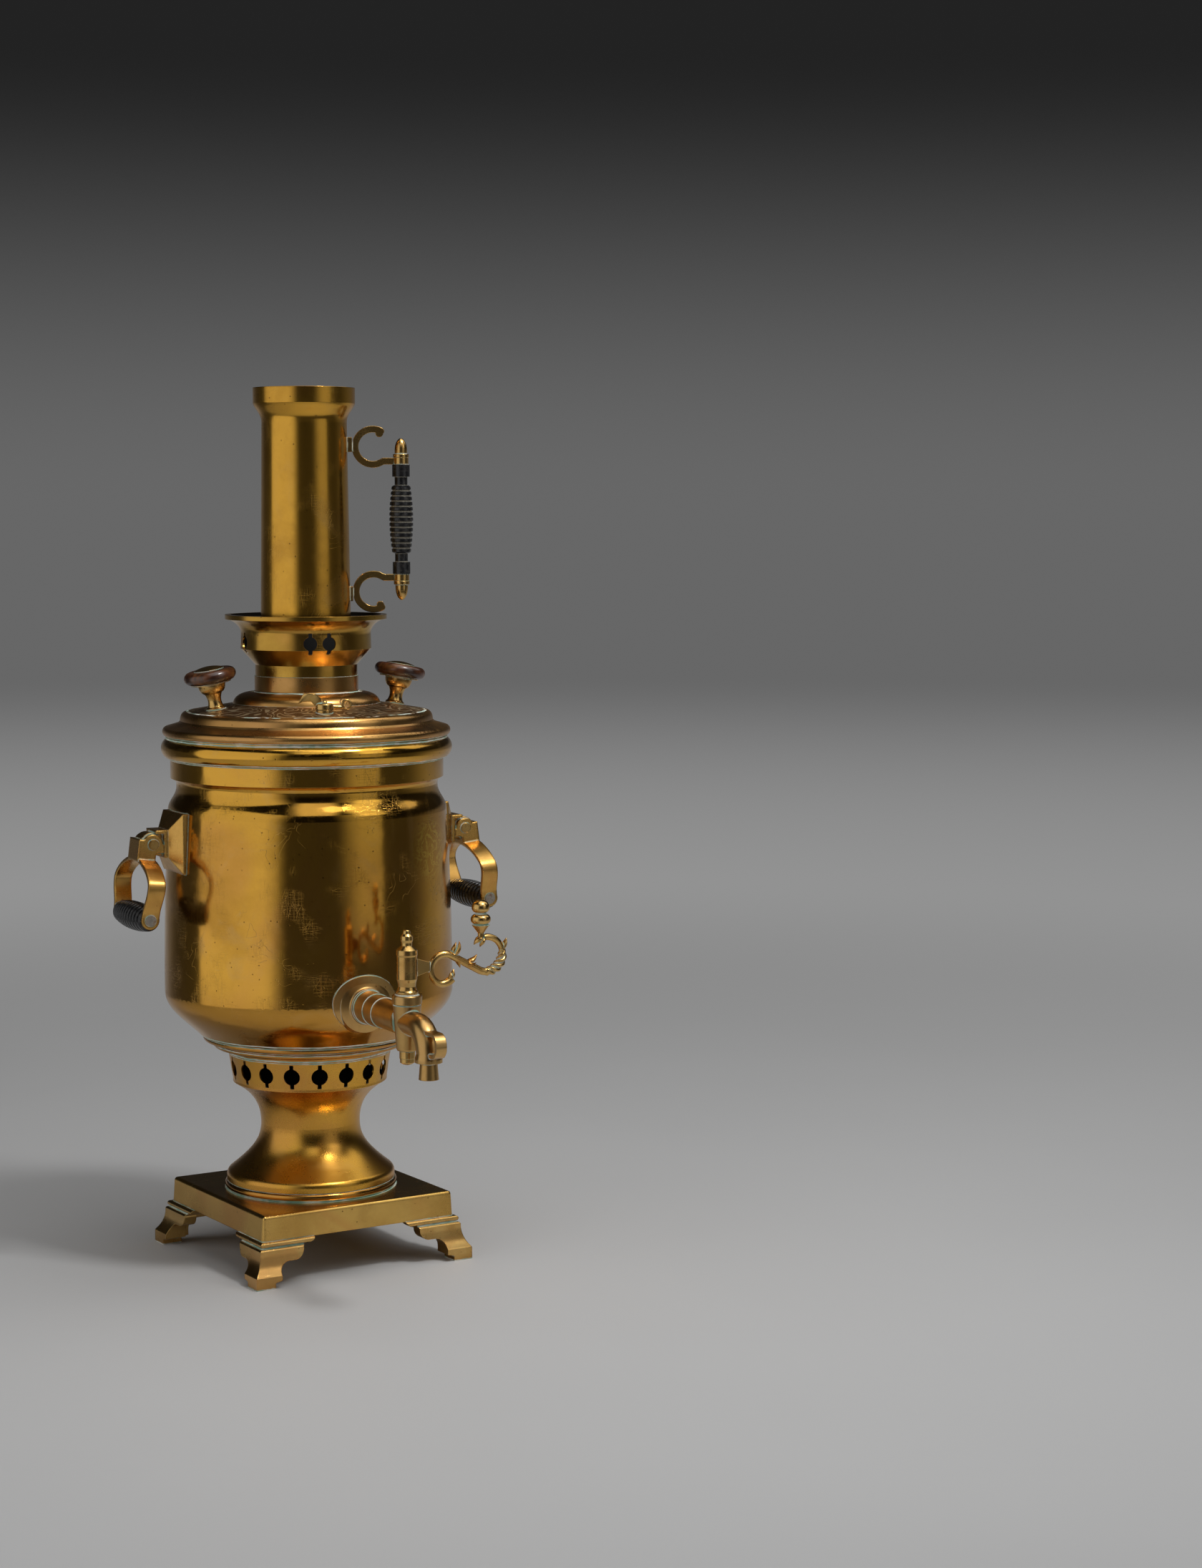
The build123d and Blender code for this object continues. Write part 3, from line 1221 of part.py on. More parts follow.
for name, side in (("left", -1), ("right", 1)):
    place = knob_place(side).location
    pieces["knob_stem_" + name] = place * knob_stem() - lid_solid()
    pieces["knob_plate_" + name] = place * knob_plate()
    pieces["knob_disc_" + name] = place * knob_disc()
    pieces["knob_cap_" + name] = place * knob_cap()
for name, flip in (("upper", Rot(0, 0, 0)), ("lower", Rot(180, 0, 0))):
    pieces["pipe_scroll_" + name] = handle_frame() * flip * pipe_scroll()
    pieces["pipe_pad_" + name] = handle_frame() * flip * (pipe_pad() - pipe_scroll()) - pipe_solid()
    pieces["pipe_ferrule_" + name] = on_pipe_handle(flip * pipe_ferrule())
    pieces["pipe_acorn_" + name] = on_pipe_handle(flip * pipe_acorn())
for name, swing in (("left", Rot(0, 0, 0)), ("right", Rot(0, 0, 180))):
    pieces["handle_bracket_" + name] = swing * handle_bracket()
    pieces["hinge_pin_" + name] = swing * hinge_pin()
    pieces["handle_bail_" + name] = swing * handle_bail()
    pieces["handle_grip_" + name] = swing * handle_grip()
    pieces["grip_rod_" + name] = swing * grip_rod()

os.makedirs("parts", exist_ok=True)
for name, shape in pieces.items():
    export_step(shape, "parts/" + name + ".step")
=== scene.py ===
"""Samovar of aged brass: finishes, small cast and chased detail, floor, lamps and camera."""
import math

import bpy
from mathutils import Matrix, Vector


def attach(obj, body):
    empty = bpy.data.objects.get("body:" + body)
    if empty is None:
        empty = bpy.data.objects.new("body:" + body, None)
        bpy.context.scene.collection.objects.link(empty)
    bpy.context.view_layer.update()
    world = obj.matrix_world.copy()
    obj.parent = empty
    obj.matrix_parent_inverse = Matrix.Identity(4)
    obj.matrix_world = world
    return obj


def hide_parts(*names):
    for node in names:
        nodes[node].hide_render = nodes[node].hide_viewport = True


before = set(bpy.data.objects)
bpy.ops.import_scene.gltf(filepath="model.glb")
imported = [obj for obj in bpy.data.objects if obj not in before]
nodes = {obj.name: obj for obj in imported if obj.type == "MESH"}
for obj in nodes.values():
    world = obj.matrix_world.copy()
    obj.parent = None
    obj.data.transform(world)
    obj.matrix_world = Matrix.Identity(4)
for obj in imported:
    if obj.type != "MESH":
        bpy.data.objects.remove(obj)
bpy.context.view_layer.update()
bpy.ops.object.select_all(action="DESELECT")

MM = 0.001


# ------------------------------------------------------------ shader helpers
def feed(tree, inputs, values):
    """Fill sockets: a value that is another socket is linked, anything else is set."""
    for key, value in values.items():
        if isinstance(value, bpy.types.NodeSocket):
            tree.links.new(value, inputs[key])
        else:
            inputs[key].default_value = value


def put(tree, kind, sockets=None, **settings):
    """Add one shader node with its settings and sockets."""
    node = tree.nodes.new("ShaderNode" + kind)
    for key, value in settings.items():
        setattr(node, key, value)
    feed(tree, node.inputs, sockets or {})
    return node


def calc(tree, operation, *values):
    """One Math node."""
    return put(tree, "Math", dict(enumerate(values)), operation=operation).outputs[0]


def vector_calc(tree, operation, *values):
    """One Vector Math node; a dot product, a length and a distance come out as a number."""
    node = put(tree, "VectorMath", dict(enumerate(values)), operation=operation)
    is_number = operation in ("DOT_PRODUCT", "LENGTH", "DISTANCE")
    return node.outputs["Value" if is_number else "Vector"]


def between(tree, value, low, high, start=0.0, end=1.0):
    """A smooth step from start to end as value goes from low to high."""
    sockets = {"Value": value, "From Min": low, "From Max": high, "To Min": start, "To Max": end}
    return put(tree, "MapRange", sockets, interpolation_type="SMOOTHSTEP").outputs[0]


def around(tree, middle, below, above):
    """The two ends of a step about a middle that is itself a socket."""
    return calc(tree, "SUBTRACT", middle, below), calc(tree, "ADD", middle, above)


def swing(tree, value, amount):
    """A value from 0 to 1 made into one either side of nothing, amount wide."""
    return calc(tree, "MULTIPLY", calc(tree, "SUBTRACT", value, 0.5), amount)


def ridges(tree, value):
    """How far a value is from one half: nothing along winding lines through a noise."""
    return calc(tree, "ABSOLUTE", calc(tree, "SUBTRACT", value, 0.5))


def mixed(tree, factor, first, second):
    """One colour mix, from first to second; 6, 7 and 2 are the colour sockets of the node."""
    return put(tree, "Mix", {0: factor, 6: first, 7: second}, data_type="RGBA").outputs[2]


def noise(tree, vector, scale, detail=3.0, roughness=0.55, distortion=0.0):
    """Cloudy noise from 0 to 1."""
    sockets = {"Vector": vector, "Scale": scale, "Detail": detail, "Roughness": roughness,
               "Distortion": distortion}
    return put(tree, "TexNoise", sockets).outputs["Fac"]


def moved(tree, vector, place=(0, 0, 0), turn=(0, 0, 0), scale=(1, 1, 1)):
    """A place moved, turned and stretched."""
    sockets = {"Vector": vector, "Location": place, "Rotation": turn, "Scale": scale}
    return put(tree, "Mapping", sockets).outputs[0]


def height_of(tree, vector):
    """The Z part of a place or direction."""
    return put(tree, "SeparateXYZ", {"Vector": vector}).outputs[2]


def polar(tree, vector):
    """The x, y and z of a place, and its distance from the Z axis."""
    x, y, z = put(tree, "SeparateXYZ", {"Vector": vector}).outputs
    squares = calc(tree, "ADD", calc(tree, "MULTIPLY", x, x), calc(tree, "MULTIPLY", y, y))
    return x, y, z, calc(tree, "SQRT", squares)


def openness(tree, reach, samples=8, **settings):
    """How open a place is within reach, from 0 in a crevice to 1 in the open."""
    sockets = {"Distance": reach}
    return put(tree, "AmbientOcclusion", sockets, samples=samples, **settings).outputs["AO"]


def bumped(tree, height, strength, distance=0.2 * MM, **more):
    """A normal raised and lowered by height."""
    sockets = {"Height": height, "Strength": strength, "Distance": distance, **more}
    return put(tree, "Bump", sockets).outputs[0]


SOCKETS = {"v": "NodeSocketVector", "c": "NodeSocketColor", "f": "NodeSocketFloat"}


def new_group(name, inputs, outputs):
    """An empty node group with named sockets: its tree, its input node and its output node."""
    tree = bpy.data.node_groups.new(name, "ShaderNodeTree")
    for socket_name, kind, value in [("Vector", "v", None)] + inputs:
        socket = tree.interface.new_socket(socket_name, in_out="INPUT", socket_type=SOCKETS[kind])
        if value is not None:
            socket.default_value = value
    for socket_name, kind in outputs:
        tree.interface.new_socket(socket_name, in_out="OUTPUT", socket_type=SOCKETS[kind])
    given = tree.nodes.new("NodeGroupInput").outputs
    return tree, given, tree.nodes.new("NodeGroupOutput").inputs


def use(tree, group, **sockets):
    """Place a group in a material; underscores in the names stand for spaces."""
    node = tree.nodes.new("ShaderNodeGroup")
    node.node_tree = group
    feed(tree, node.inputs, {key.replace("_", " "): value for key, value in sockets.items()})
    return node.outputs


# ------------------------------------------------------------ groups shared by the finishes
def tarnish_group():
    """Uneven tarnish: bright, brown and coppery patches with soft borders and fine mottling."""
    tree, given, result = new_group("Tarnish", [
        ("Bright", "c", (0.8, 0.45, 0.1, 1)), ("Brown", "c", (0.3, 0.15, 0.04, 1)),
        ("Copper", "c", (0.6, 0.25, 0.12, 1)), ("Patch Scale", "f", 9.0),
        ("Brown Share", "f", 0.4), ("Copper Share", "f", 0.3), ("Mottling", "f", 0.5)],
        [("Color", "c"), ("Brown Mask", "f")])
    vector, scale = given["Vector"], given["Patch Scale"]

    def patches(clouds, share, below, above):
        """Where the clouds pass the level that leaves about this share of the surface."""
        level = calc(tree, "MULTIPLY_ADD", calc(tree, "SUBTRACT", 1.0, share), 0.5, 0.25)
        return between(tree, clouds, *around(tree, level, below, above))

    brown = patches(noise(tree, vector, scale, 4.0, 0.6, 0.6), given["Brown Share"], 0.16, 0.12)
    drifts = noise(tree, moved(tree, vector, place=(3.1, 1.7, 0.4)), scale, 3.0, 0.55, 1.2)
    copper = patches(drifts, given["Copper Share"], 0.10, 0.14)
    specks = noise(tree, vector, 420.0, 4.0, 0.65)
    brown = calc(tree, "ADD", brown, swing(tree, specks, given["Mottling"]))
    brown.node.use_clamp = True
    colour = mixed(tree, copper, given["Bright"], given["Copper"])
    feed(tree, result, {"Color": mixed(tree, brown, colour, given["Brown"]), "Brown Mask": brown})
    return tree


def scratch_group():
    """Hairline scratches in three directions, in sparse patches."""
    tree, given, result = new_group("Scratches", [("Scale", "f", 60.0), ("Amount", "f", 0.5)],
                                    [("Mask", "f")])
    total = 0.0
    for turn, squeeze, offset in (((0.3, 0.2, 0.9), (1, 9, 1), 0.0),
                                  ((0.8, -0.4, 0.3), (9, 1, 1), 2.3),
                                  ((-0.5, 0.9, -0.7), (1, 1, 8), 5.1)):
        vector = moved(tree, given["Vector"], (offset, offset, offset), turn, squeeze)
        cells = put(tree, "TexVoronoi", {"Vector": vector, "Scale": given["Scale"]},
                    feature="DISTANCE_TO_EDGE").outputs["Distance"]
        total = calc(tree, "MAXIMUM", total, between(tree, cells, 0.0, 0.012, 1.0, 0.0))
    patches = between(tree, noise(tree, given["Vector"], 38.0, 2.0, 0.5), 0.5, 0.72)
    total = calc(tree, "MULTIPLY", calc(tree, "MULTIPLY", total, patches), given["Amount"])
    feed(tree, result, {"Mask": total})
    return tree


def pit_group():
    """Small dark pits and stain spots."""
    tree, given, result = new_group("Pits", [("Scale", "f", 260.0), ("Amount", "f", 0.5)],
                                    [("Mask", "f")])
    cells = put(tree, "TexVoronoi", {"Vector": given["Vector"], "Scale": given["Scale"]}).outputs
    spots = between(tree, cells["Distance"], 0.08, 0.2, 1.0, 0.0)
    chosen = put(tree, "SeparateColor", {"Color": cells["Color"]}).outputs[0]
    chosen = calc(tree, "LESS_THAN", chosen, calc(tree, "MULTIPLY", given["Amount"], 0.35))
    feed(tree, result, {"Mask": calc(tree, "MULTIPLY", spots, chosen)})
    return tree


def spin_group():
    """Faint rings left by spinning on a lathe, about the Z axis."""
    tree, given, result = new_group("Spinning Rings", [("Scale", "f", 900.0)], [("Height", "f")])
    x, y, z, radius = polar(tree, given["Vector"])
    # a little of the angle lets each ring fade and change on its way round
    angle = calc(tree, "MULTIPLY", calc(tree, "ARCTAN2", y, x), 0.0004)
    profile = put(tree, "CombineXYZ", {0: radius, 1: z, 2: angle}).outputs[0]
    feed(tree, result, {"Height": noise(tree, profile, given["Scale"], 3.0, 0.7)})
    return tree


def crevice_group():
    """Where two surfaces meet: a wide brown painted shade, and inside it a pale broken deposit."""
    tree, given, result = new_group("Crevices", [
        ("Deposit Reach", "f", 2.2 * MM), ("Deposit", "f", 0.5), ("Painted Shade Reach", "f", 9 * MM)],
        [("Deposit Mask", "f"), ("Painted Shade Mask", "f")])
    near = calc(tree, "SUBTRACT", 1.0, openness(tree, given["Deposit Reach"]))
    # painted shade: how hidden a place is within a wide reach, later darkened towards brown
    wide = calc(tree, "SUBTRACT", 1.0, openness(tree, given["Painted Shade Reach"]))
    limit = calc(tree, "MULTIPLY_ADD", given["Deposit"], -0.42, 0.62)
    broken = noise(tree, given["Vector"], 180.0, 5.0, 0.7)
    limit = calc(tree, "ADD", limit, swing(tree, broken, 0.42))
    deposit = between(tree, near, *around(tree, limit, 0.06, 0.06))
    feed(tree, result, {"Deposit Mask": deposit, "Painted Shade Mask": between(tree, wide, 0.12, 0.62)})
    return tree


def wear_group():
    """Outer edges rubbed bright."""
    tree, given, result = new_group("Worn Edges", [("Reach", "f", 1.6 * MM), ("Amount", "f", 0.5)],
                                    [("Mask", "f")])
    level = openness(tree, given["Reach"], inside=True, only_local=True)
    broken = noise(tree, given["Vector"], 150.0, 3.0, 0.6)
    level = calc(tree, "ADD", level, swing(tree, broken, 0.25))
    mask = between(tree, level, 0.42, 0.72)
    feed(tree, result, {"Mask": calc(tree, "MULTIPLY", mask, given["Amount"])})
    return tree


def chasing_group():
    """Chased scrolls on a stippled ground, in a ring about the Z axis."""
    tree, given, result = new_group("Chased Band", [
        ("Inner Radius", "f", 58 * MM), ("Outer Radius", "f", 90 * MM),
        ("Scroll Scale", "f", 48.0), ("Lines", "f", 8.0)], [("Line Mask", "f"), ("Band Mask", "f")])
    border = 1.5 * MM
    inner, outer = given["Inner Radius"], given["Outer Radius"]
    x, y, _, radius = polar(tree, given["Vector"])
    band = calc(tree, "MULTIPLY",
                between(tree, radius, inner, calc(tree, "ADD", inner, border)),
                between(tree, radius, calc(tree, "SUBTRACT", outer, border), outer, 1.0, 0.0))
    flat = put(tree, "CombineXYZ", {0: x, 1: y}).outputs[0]
    swirl = noise(tree, flat, given["Scroll Scale"], 0.6, 0.35, 0.9)
    turns = calc(tree, "MULTIPLY", given["Lines"], math.tau)
    lines = between(tree, calc(tree, "SINE", calc(tree, "MULTIPLY", swirl, turns)), 0.35, 0.85)
    dots = put(tree, "TexVoronoi", {"Vector": flat, "Scale": 1500.0}).outputs["Distance"]
    dots = between(tree, dots, 0.15, 0.35, 1.0, 0.0)
    both = calc(tree, "MAXIMUM", lines, calc(tree, "MULTIPLY", dots, 0.55))
    feed(tree, result, {"Line Mask": calc(tree, "MULTIPLY", both, band), "Band Mask": band})
    return tree


def inner_face_group():
    """Faces that look towards the Z axis: the insides of turned walls."""
    tree, given, result = new_group("Inner Faces", [("Normal", "v", None)], [("Mask", "f")])
    outward = vector_calc(tree, "MULTIPLY", given["Vector"], (1, 1, 0))
    outward = vector_calc(tree, "NORMALIZE", outward)
    facing = vector_calc(tree, "DOT_PRODUCT", outward, given["Normal"])
    feed(tree, result, {"Mask": between(tree, facing, -0.3, -0.15, 1.0, 0.0)})
    return tree


def smudge_group():
    """Cloudy finger smears and curled polishing marks."""
    tree, given, result = new_group("Smudges", [("Scale", "f", 22.0)],
                                    [("Haze", "f"), ("Marks", "f")])
    vector, scale = given["Vector"], given["Scale"]
    haze = between(tree, noise(tree, vector, scale, 5.0, 0.62, 1.4), 0.50, 0.72)
    curl = noise(tree, vector, calc(tree, "MULTIPLY", scale, 1.6), 2.0, 0.5, 2.2)
    marks = between(tree, ridges(tree, curl), 0.0, 0.006, 1.0, 0.0)
    patches = between(tree, noise(tree, vector, scale, 2.0, 0.5), 0.54, 0.64)
    feed(tree, result, {"Haze": haze, "Marks": calc(tree, "MULTIPLY", marks, patches)})
    return tree


def ring_line_group():
    """A broken line of crust round the piece at a height above the ground."""
    tree, given, result = new_group("Ring Line", [
        ("Height", "f", 0.4), ("Width", "f", 1 * MM), ("Wholeness", "f", 0.7)], [("Mask", "f")])
    vector, width, whole = given["Vector"], given["Width"], given["Wholeness"]
    wander = swing(tree, noise(tree, vector, 60.0, 2.0), width)
    off = calc(tree, "SUBTRACT", height_of(tree, vector), given["Height"])
    off = calc(tree, "ABSOLUTE", calc(tree, "SUBTRACT", off, wander))
    half = calc(tree, "MULTIPLY", width, 0.5)
    line = between(tree, off, calc(tree, "MULTIPLY", half, 0.7), half, 1.0, 0.0)
    kept = between(tree, noise(tree, vector, 35.0, 4.0, 0.6),
                   calc(tree, "SUBTRACT", 0.95, whole), calc(tree, "SUBTRACT", 1.05, whole))
    feed(tree, result, {"Mask": calc(tree, "MULTIPLY", line, kept)})
    return tree


tarnish = tarnish_group()
scratches = scratch_group()
pits = pit_group()
spinning = spin_group()
crevices = crevice_group()
wear = wear_group()
chasing = chasing_group()
inner_faces = inner_face_group()
smudges = smudge_group()
ring_line = ring_line_group()


# ------------------------------------------------------------ finishes
GOLD = (0.72, 0.385, 0.055, 1)
PALE_GOLD = (0.64, 0.40, 0.15, 1)
RUBBED_GOLD = (0.85, 0.55, 0.10, 1)
BROWN = (0.34, 0.155, 0.026, 1)
DARK_BROWN = (0.13, 0.055, 0.014, 1)
COPPER = (0.58, 0.26, 0.075, 1)
PAINTED_SHADE_COPPER = (0.40, 0.17, 0.04, 1)
CHASED_GROUND = (0.17, 0.080, 0.034, 1)
CHASED_LINE = (0.88, 0.72, 0.46, 1)
VERDIGRIS = (0.42, 0.60, 0.50, 1)
CHALK = (0.80, 0.84, 0.76, 1)
SOOT = (0.008, 0.007, 0.006, 1)
TIN = (0.36, 0.35, 0.33, 1)
LIME_SCALE = (0.55, 0.52, 0.45, 1)
DARK_WOOD = (0.030, 0.010, 0.004, 1)
RED_WOOD = (0.13, 0.042, 0.014, 1)
RUBBED_WOOD = (0.24, 0.095, 0.032, 1)
EBONY = (0.008, 0.008, 0.009, 1)
GREY_EBONY = (0.05, 0.045, 0.04, 1)
DUST = (0.40, 0.37, 0.30, 1)
IRON = (0.015, 0.014, 0.013, 1)
RED_RUST = (0.12, 0.05, 0.025, 1)
STEEL = (0.42, 0.38, 0.32, 1)
BROWN_RUST = (0.16, 0.08, 0.04, 1)
DARK_FLOOR = (0.60, 0.60, 0.60, 1)
PALE_FLOOR = (0.63, 0.63, 0.63, 1)
# roughness mixed in as greys
CRUST_ROUGHNESS = (0.85, 0.85, 0.85, 1)
DUST_ROUGHNESS = (0.8, 0.8, 0.8, 1)


def new_material(name):
    """A material, its tree, its shader and the place on the piece."""
    material = bpy.data.materials.new(name)
    material.use_nodes = True
    tree = material.node_tree
    return material, tree, tree.nodes["Principled BSDF"], put(tree, "TexCoord").outputs["Object"]


def inside_of(tree, vector):
    """The inner side of a turned wall; vector is what new_material gives."""
    return use(tree, inner_faces, Vector=vector, Normal=vector.node.outputs["Normal"])["Mask"]


def brass(name, bright=GOLD, brown=BROWN, copper=COPPER, patch_scale=9.0, brown_share=0.35,
          copper_share=0.3, roughness=0.2, rings=0.0, scratch=0.5, pit=0.4, deposit=0.72,
          worn=0.5, soft=0.4 * MM, haze=0.5, painted_shade_heights=None, lining=None, sooty_below=None,
          chased=False, lines=(), rubbed=None):
    """Aged brass; the values say how bright, brown, coppery, worn and crusted it is.

    painted_shade_heights is a pair of heights between which the metal turns from a painted darker
    copper below, painted shade on the lower wall, to golden above, lining is the colour of the
    inside, below sooty_below everything is black, lines are rings of crust as (height, width,
    wholeness), and rubbed is the middle of a golden patch with curled marks."""
    material, tree, shader, vector = new_material(name)

    def over(mask, share, below, colour):
        """A colour laid over the one below it, at a share of its mask."""
        return mixed(tree, calc(tree, "MULTIPLY", mask, share), below, colour)

    patches = use(tree, tarnish, Vector=vector, Bright=bright, Brown=brown, Copper=copper,
                  Patch_Scale=patch_scale, Brown_Share=brown_share, Copper_Share=copper_share)
    hairs = use(tree, scratches, Vector=vector, Amount=scratch)["Mask"]
    holes = use(tree, pits, Vector=vector, Amount=pit)["Mask"]
    seams = use(tree, crevices, Vector=vector, Deposit=deposit, Deposit_Reach=2 * MM)
    edges = use(tree, wear, Vector=vector, Amount=worn)["Mask"]
    smears = use(tree, smudges, Vector=vector)
    light_marks = calc(tree, "MAXIMUM", hairs, calc(tree, "MULTIPLY", smears["Marks"], haze))
    up = height_of(tree, vector)

    colour = patches["Color"]
    # painted shade: below these heights the colour is painted darker copper, darker towards the
    # bottom of the bowl
    if painted_shade_heights:
        colour = mixed(tree, between(tree, up, *painted_shade_heights, 0.85, 0.0), colour, PAINTED_SHADE_COPPER)
    colour = mixed(tree, edges, colour, bright)
    # painted shade: brown laid over where surfaces meet, from the wide hollowness of the crevice
    # group
    colour = over(seams["Painted Shade Mask"], 0.6, colour, brown)
    colour = over(smears["Haze"], 0.3 * haze, colour, PALE_GOLD)
    colour = over(light_marks, 0.5, colour, PALE_GOLD)
    colour = over(holes, 0.7, colour, DARK_BROWN)
    height = calc(tree, "MULTIPLY", calc(tree, "MAXIMUM", light_marks, holes), -0.6)
    rough = calc(tree, "MULTIPLY_ADD", patches["Brown Mask"], 0.08, roughness)
    rough = calc(tree, "MULTIPLY_ADD", light_marks, 0.12, rough)
    rough = calc(tree, "MULTIPLY_ADD", smears["Haze"], 0.10 * haze, rough)
    if rings:
        lathe = use(tree, spinning, Vector=vector)["Height"]
        height = calc(tree, "MULTIPLY_ADD", lathe, rings, height)
    if rubbed:
        away = vector_calc(tree, "DISTANCE", vector, rubbed)
        curl = ridges(tree, noise(tree, vector, 75.0, 3.0, 0.6, 1.8))
        patch = calc(tree, "MULTIPLY", between(tree, away, 12 * MM, 30 * MM, 1.0, 0.0),
                     between(tree, curl, 0.015, 0.05, 1.0, 0.0))
        colour = over(patch, 0.8, colour, RUBBED_GOLD)
    if chased:
        band = use(tree, chasing, Vector=vector)
        colour = over(band["Band Mask"], 0.85, colour, CHASED_GROUND)
        colour = over(band["Line Mask"], 0.85, colour, CHASED_LINE)
        depth = calc(tree, "MULTIPLY", band["Line Mask"], 1.8)
        height = calc(tree, "SUBTRACT", height, depth)
        rough = calc(tree, "MULTIPLY_ADD", band["Band Mask"], 0.12, rough)

    crust = seams["Deposit Mask"]
    for level, width, wholeness in lines:
        line = use(tree, ring_line, Vector=vector, Height=level, Width=width, Wholeness=wholeness)
        crust = calc(tree, "MAXIMUM", crust, line["Mask"])
    chalk = between(tree, noise(tree, vector, 90.0, 3.0), 0.4, 0.6)
    colour = mixed(tree, crust, colour, mixed(tree, chalk, VERDIGRIS, CHALK))
    dull = crust
    if lining:
        inside = inside_of(tree, vector)
        dull = calc(tree, "MAXIMUM", dull, inside)
        colour = mixed(tree, inside, colour, lining)
    if sooty_below:
        black = between(tree, up, sooty_below - 1 * MM, sooty_below, 1.0, 0.0)
        dull = calc(tree, "MAXIMUM", dull, black)
        colour = mixed(tree, black, colour, SOOT)

    height = calc(tree, "MULTIPLY_ADD", crust, 1.5, height)
    rounded = put(tree, "Bevel", {"Radius": soft}, samples=6).outputs[0]
    feed(tree, shader.inputs, {
        "Base Color": colour, "Roughness": mixed(tree, dull, rough, CRUST_ROUGHNESS),
        "Metallic": calc(tree, "SUBTRACT", 1.0, dull),
        "Normal": bumped(tree, height, 0.35, Normal=rounded)})
    return material


urn_brass = brass("urn_brass", patch_scale=7.0, brown_share=0.3, copper_share=0.42,
                  roughness=0.105, rings=0.12, scratch=0.8, pit=0.5, haze=1.0,
                  painted_shade_heights=(0.198, 0.222), lining=TIN, rubbed=(0.0635, -0.0874, 0.318),
                  lines=((0.1735, 1.2 * MM, 0.62), (0.3832, 1.0 * MM, 0.60)))
collar_brass = brass("collar_brass", patch_scale=7.0, brown_share=0.3, copper_share=0.32,
                     roughness=0.14, rings=0.12, scratch=0.7, pit=0.35, haze=0.8, lining=TIN,
                     lines=((0.3845, 1.0 * MM, 0.66), (0.3994, 1.4 * MM, 0.75)))
pipe_brass = brass("pipe_brass", patch_scale=11.0, brown_share=0.28, copper_share=0.25,
                   roughness=0.19, scratch=0.6, haze=0.7, lining=SOOT, sooty_below=0.488)
crown_brass = brass("crown_brass", bright=(0.60, 0.36, 0.065, 1), patch_scale=13.0,
                    brown_share=0.42, roughness=0.15, rings=0.6, scratch=0.6, haze=0.6,
                    lining=SOOT)
lid_brass = brass("lid_brass", bright=(0.60, 0.34, 0.105, 1), brown=(0.38, 0.19, 0.055, 1),
                  copper=(0.58, 0.28, 0.11, 1), patch_scale=14.0, brown_share=0.4,
                  copper_share=0.55, roughness=0.24, rings=0.5, chased=True, lining=TIN,
                  lines=((0.4009, 1.2 * MM, 0.75), (0.4193, 0.4 * MM, 0.50),
                         (0.4340, 0.8 * MM, 0.6)))
pedestal_brass = brass("pedestal_brass", brown=(0.40, 0.19, 0.035, 1), brown_share=0.36,
                       copper_share=0.4, roughness=0.27, rings=0.1, pit=0.02, scratch=0.2,
                       lining=SOOT, lines=((0.1572, 1.2 * MM, 0.68),))
ring_brass = brass("ring_brass", bright=(0.60, 0.29, 0.05, 1), brown_share=0.5,
                   copper_share=0.6, roughness=0.17, rings=0.2, deposit=0.85, lining=SOOT,
                   lines=((0.1650, 0.9 * MM, 0.66), (0.1586, 1.4 * MM, 0.72),
                          (0.0525, 1.0 * MM, 0.75)))
plate_brass = brass("plate_brass", bright=(0.72, 0.45, 0.12, 1), brown_share=0.36,
                    roughness=0.21, soft=1.0 * MM, scratch=0.3)
cast_brass = brass("cast_brass", bright=(0.66, 0.42, 0.14, 1), patch_scale=26.0,
                   brown_share=0.34, copper_share=0.35, roughness=0.22, deposit=0.8,
                   soft=0.8 * MM, scratch=0.3)
tap_brass = brass("tap_brass", bright=(0.60, 0.37, 0.13, 1), copper=(0.50, 0.27, 0.10, 1),
                  patch_scale=20.0, brown_share=0.32, copper_share=0.45, roughness=0.28,
                  worn=0.6, deposit=0.9, soft=0.6 * MM, scratch=0.3)
handle_brass = brass("handle_brass", bright=(0.68, 0.39, 0.10, 1), patch_scale=24.0,
                     brown_share=0.25, copper_share=0.4, roughness=0.26, deposit=0.82,
                     soft=2.0 * MM, scratch=0.3)


def knob_wood_finish():
    """Turned, polished, dark reddish wood with rubbed patches."""
    material, tree, shader, vector = new_material("knob_wood")
    fibres = moved(tree, vector, turn=(0.2, 0.1, 0.4), scale=(50, 320, 50))
    grain = noise(tree, fibres, 1.0, 3.0, 0.5)
    cloud = noise(tree, vector, 45.0, 2.0, 0.5, 0.8)
    colour = mixed(tree, between(tree, grain, 0.35, 0.7), DARK_WOOD, RED_WOOD)
    colour = mixed(tree, between(tree, cloud, 0.5, 0.8), colour, RUBBED_WOOD)
    hairs = use(tree, scratches, Vector=vector, Amount=0.6, Scale=130.0)["Mask"]
    rough = calc(tree, "MULTIPLY_ADD", cloud, 0.2, 0.2)
    feed(tree, shader.inputs, {
        "Base Color": colour, "Roughness": calc(tree, "MULTIPLY_ADD", hairs, 0.2, rough),
        "Normal": bumped(tree, calc(tree, "SUBTRACT", grain, hairs), 0.15),
        "Coat Weight": 0.4, "Coat Roughness": 0.12})
    return material


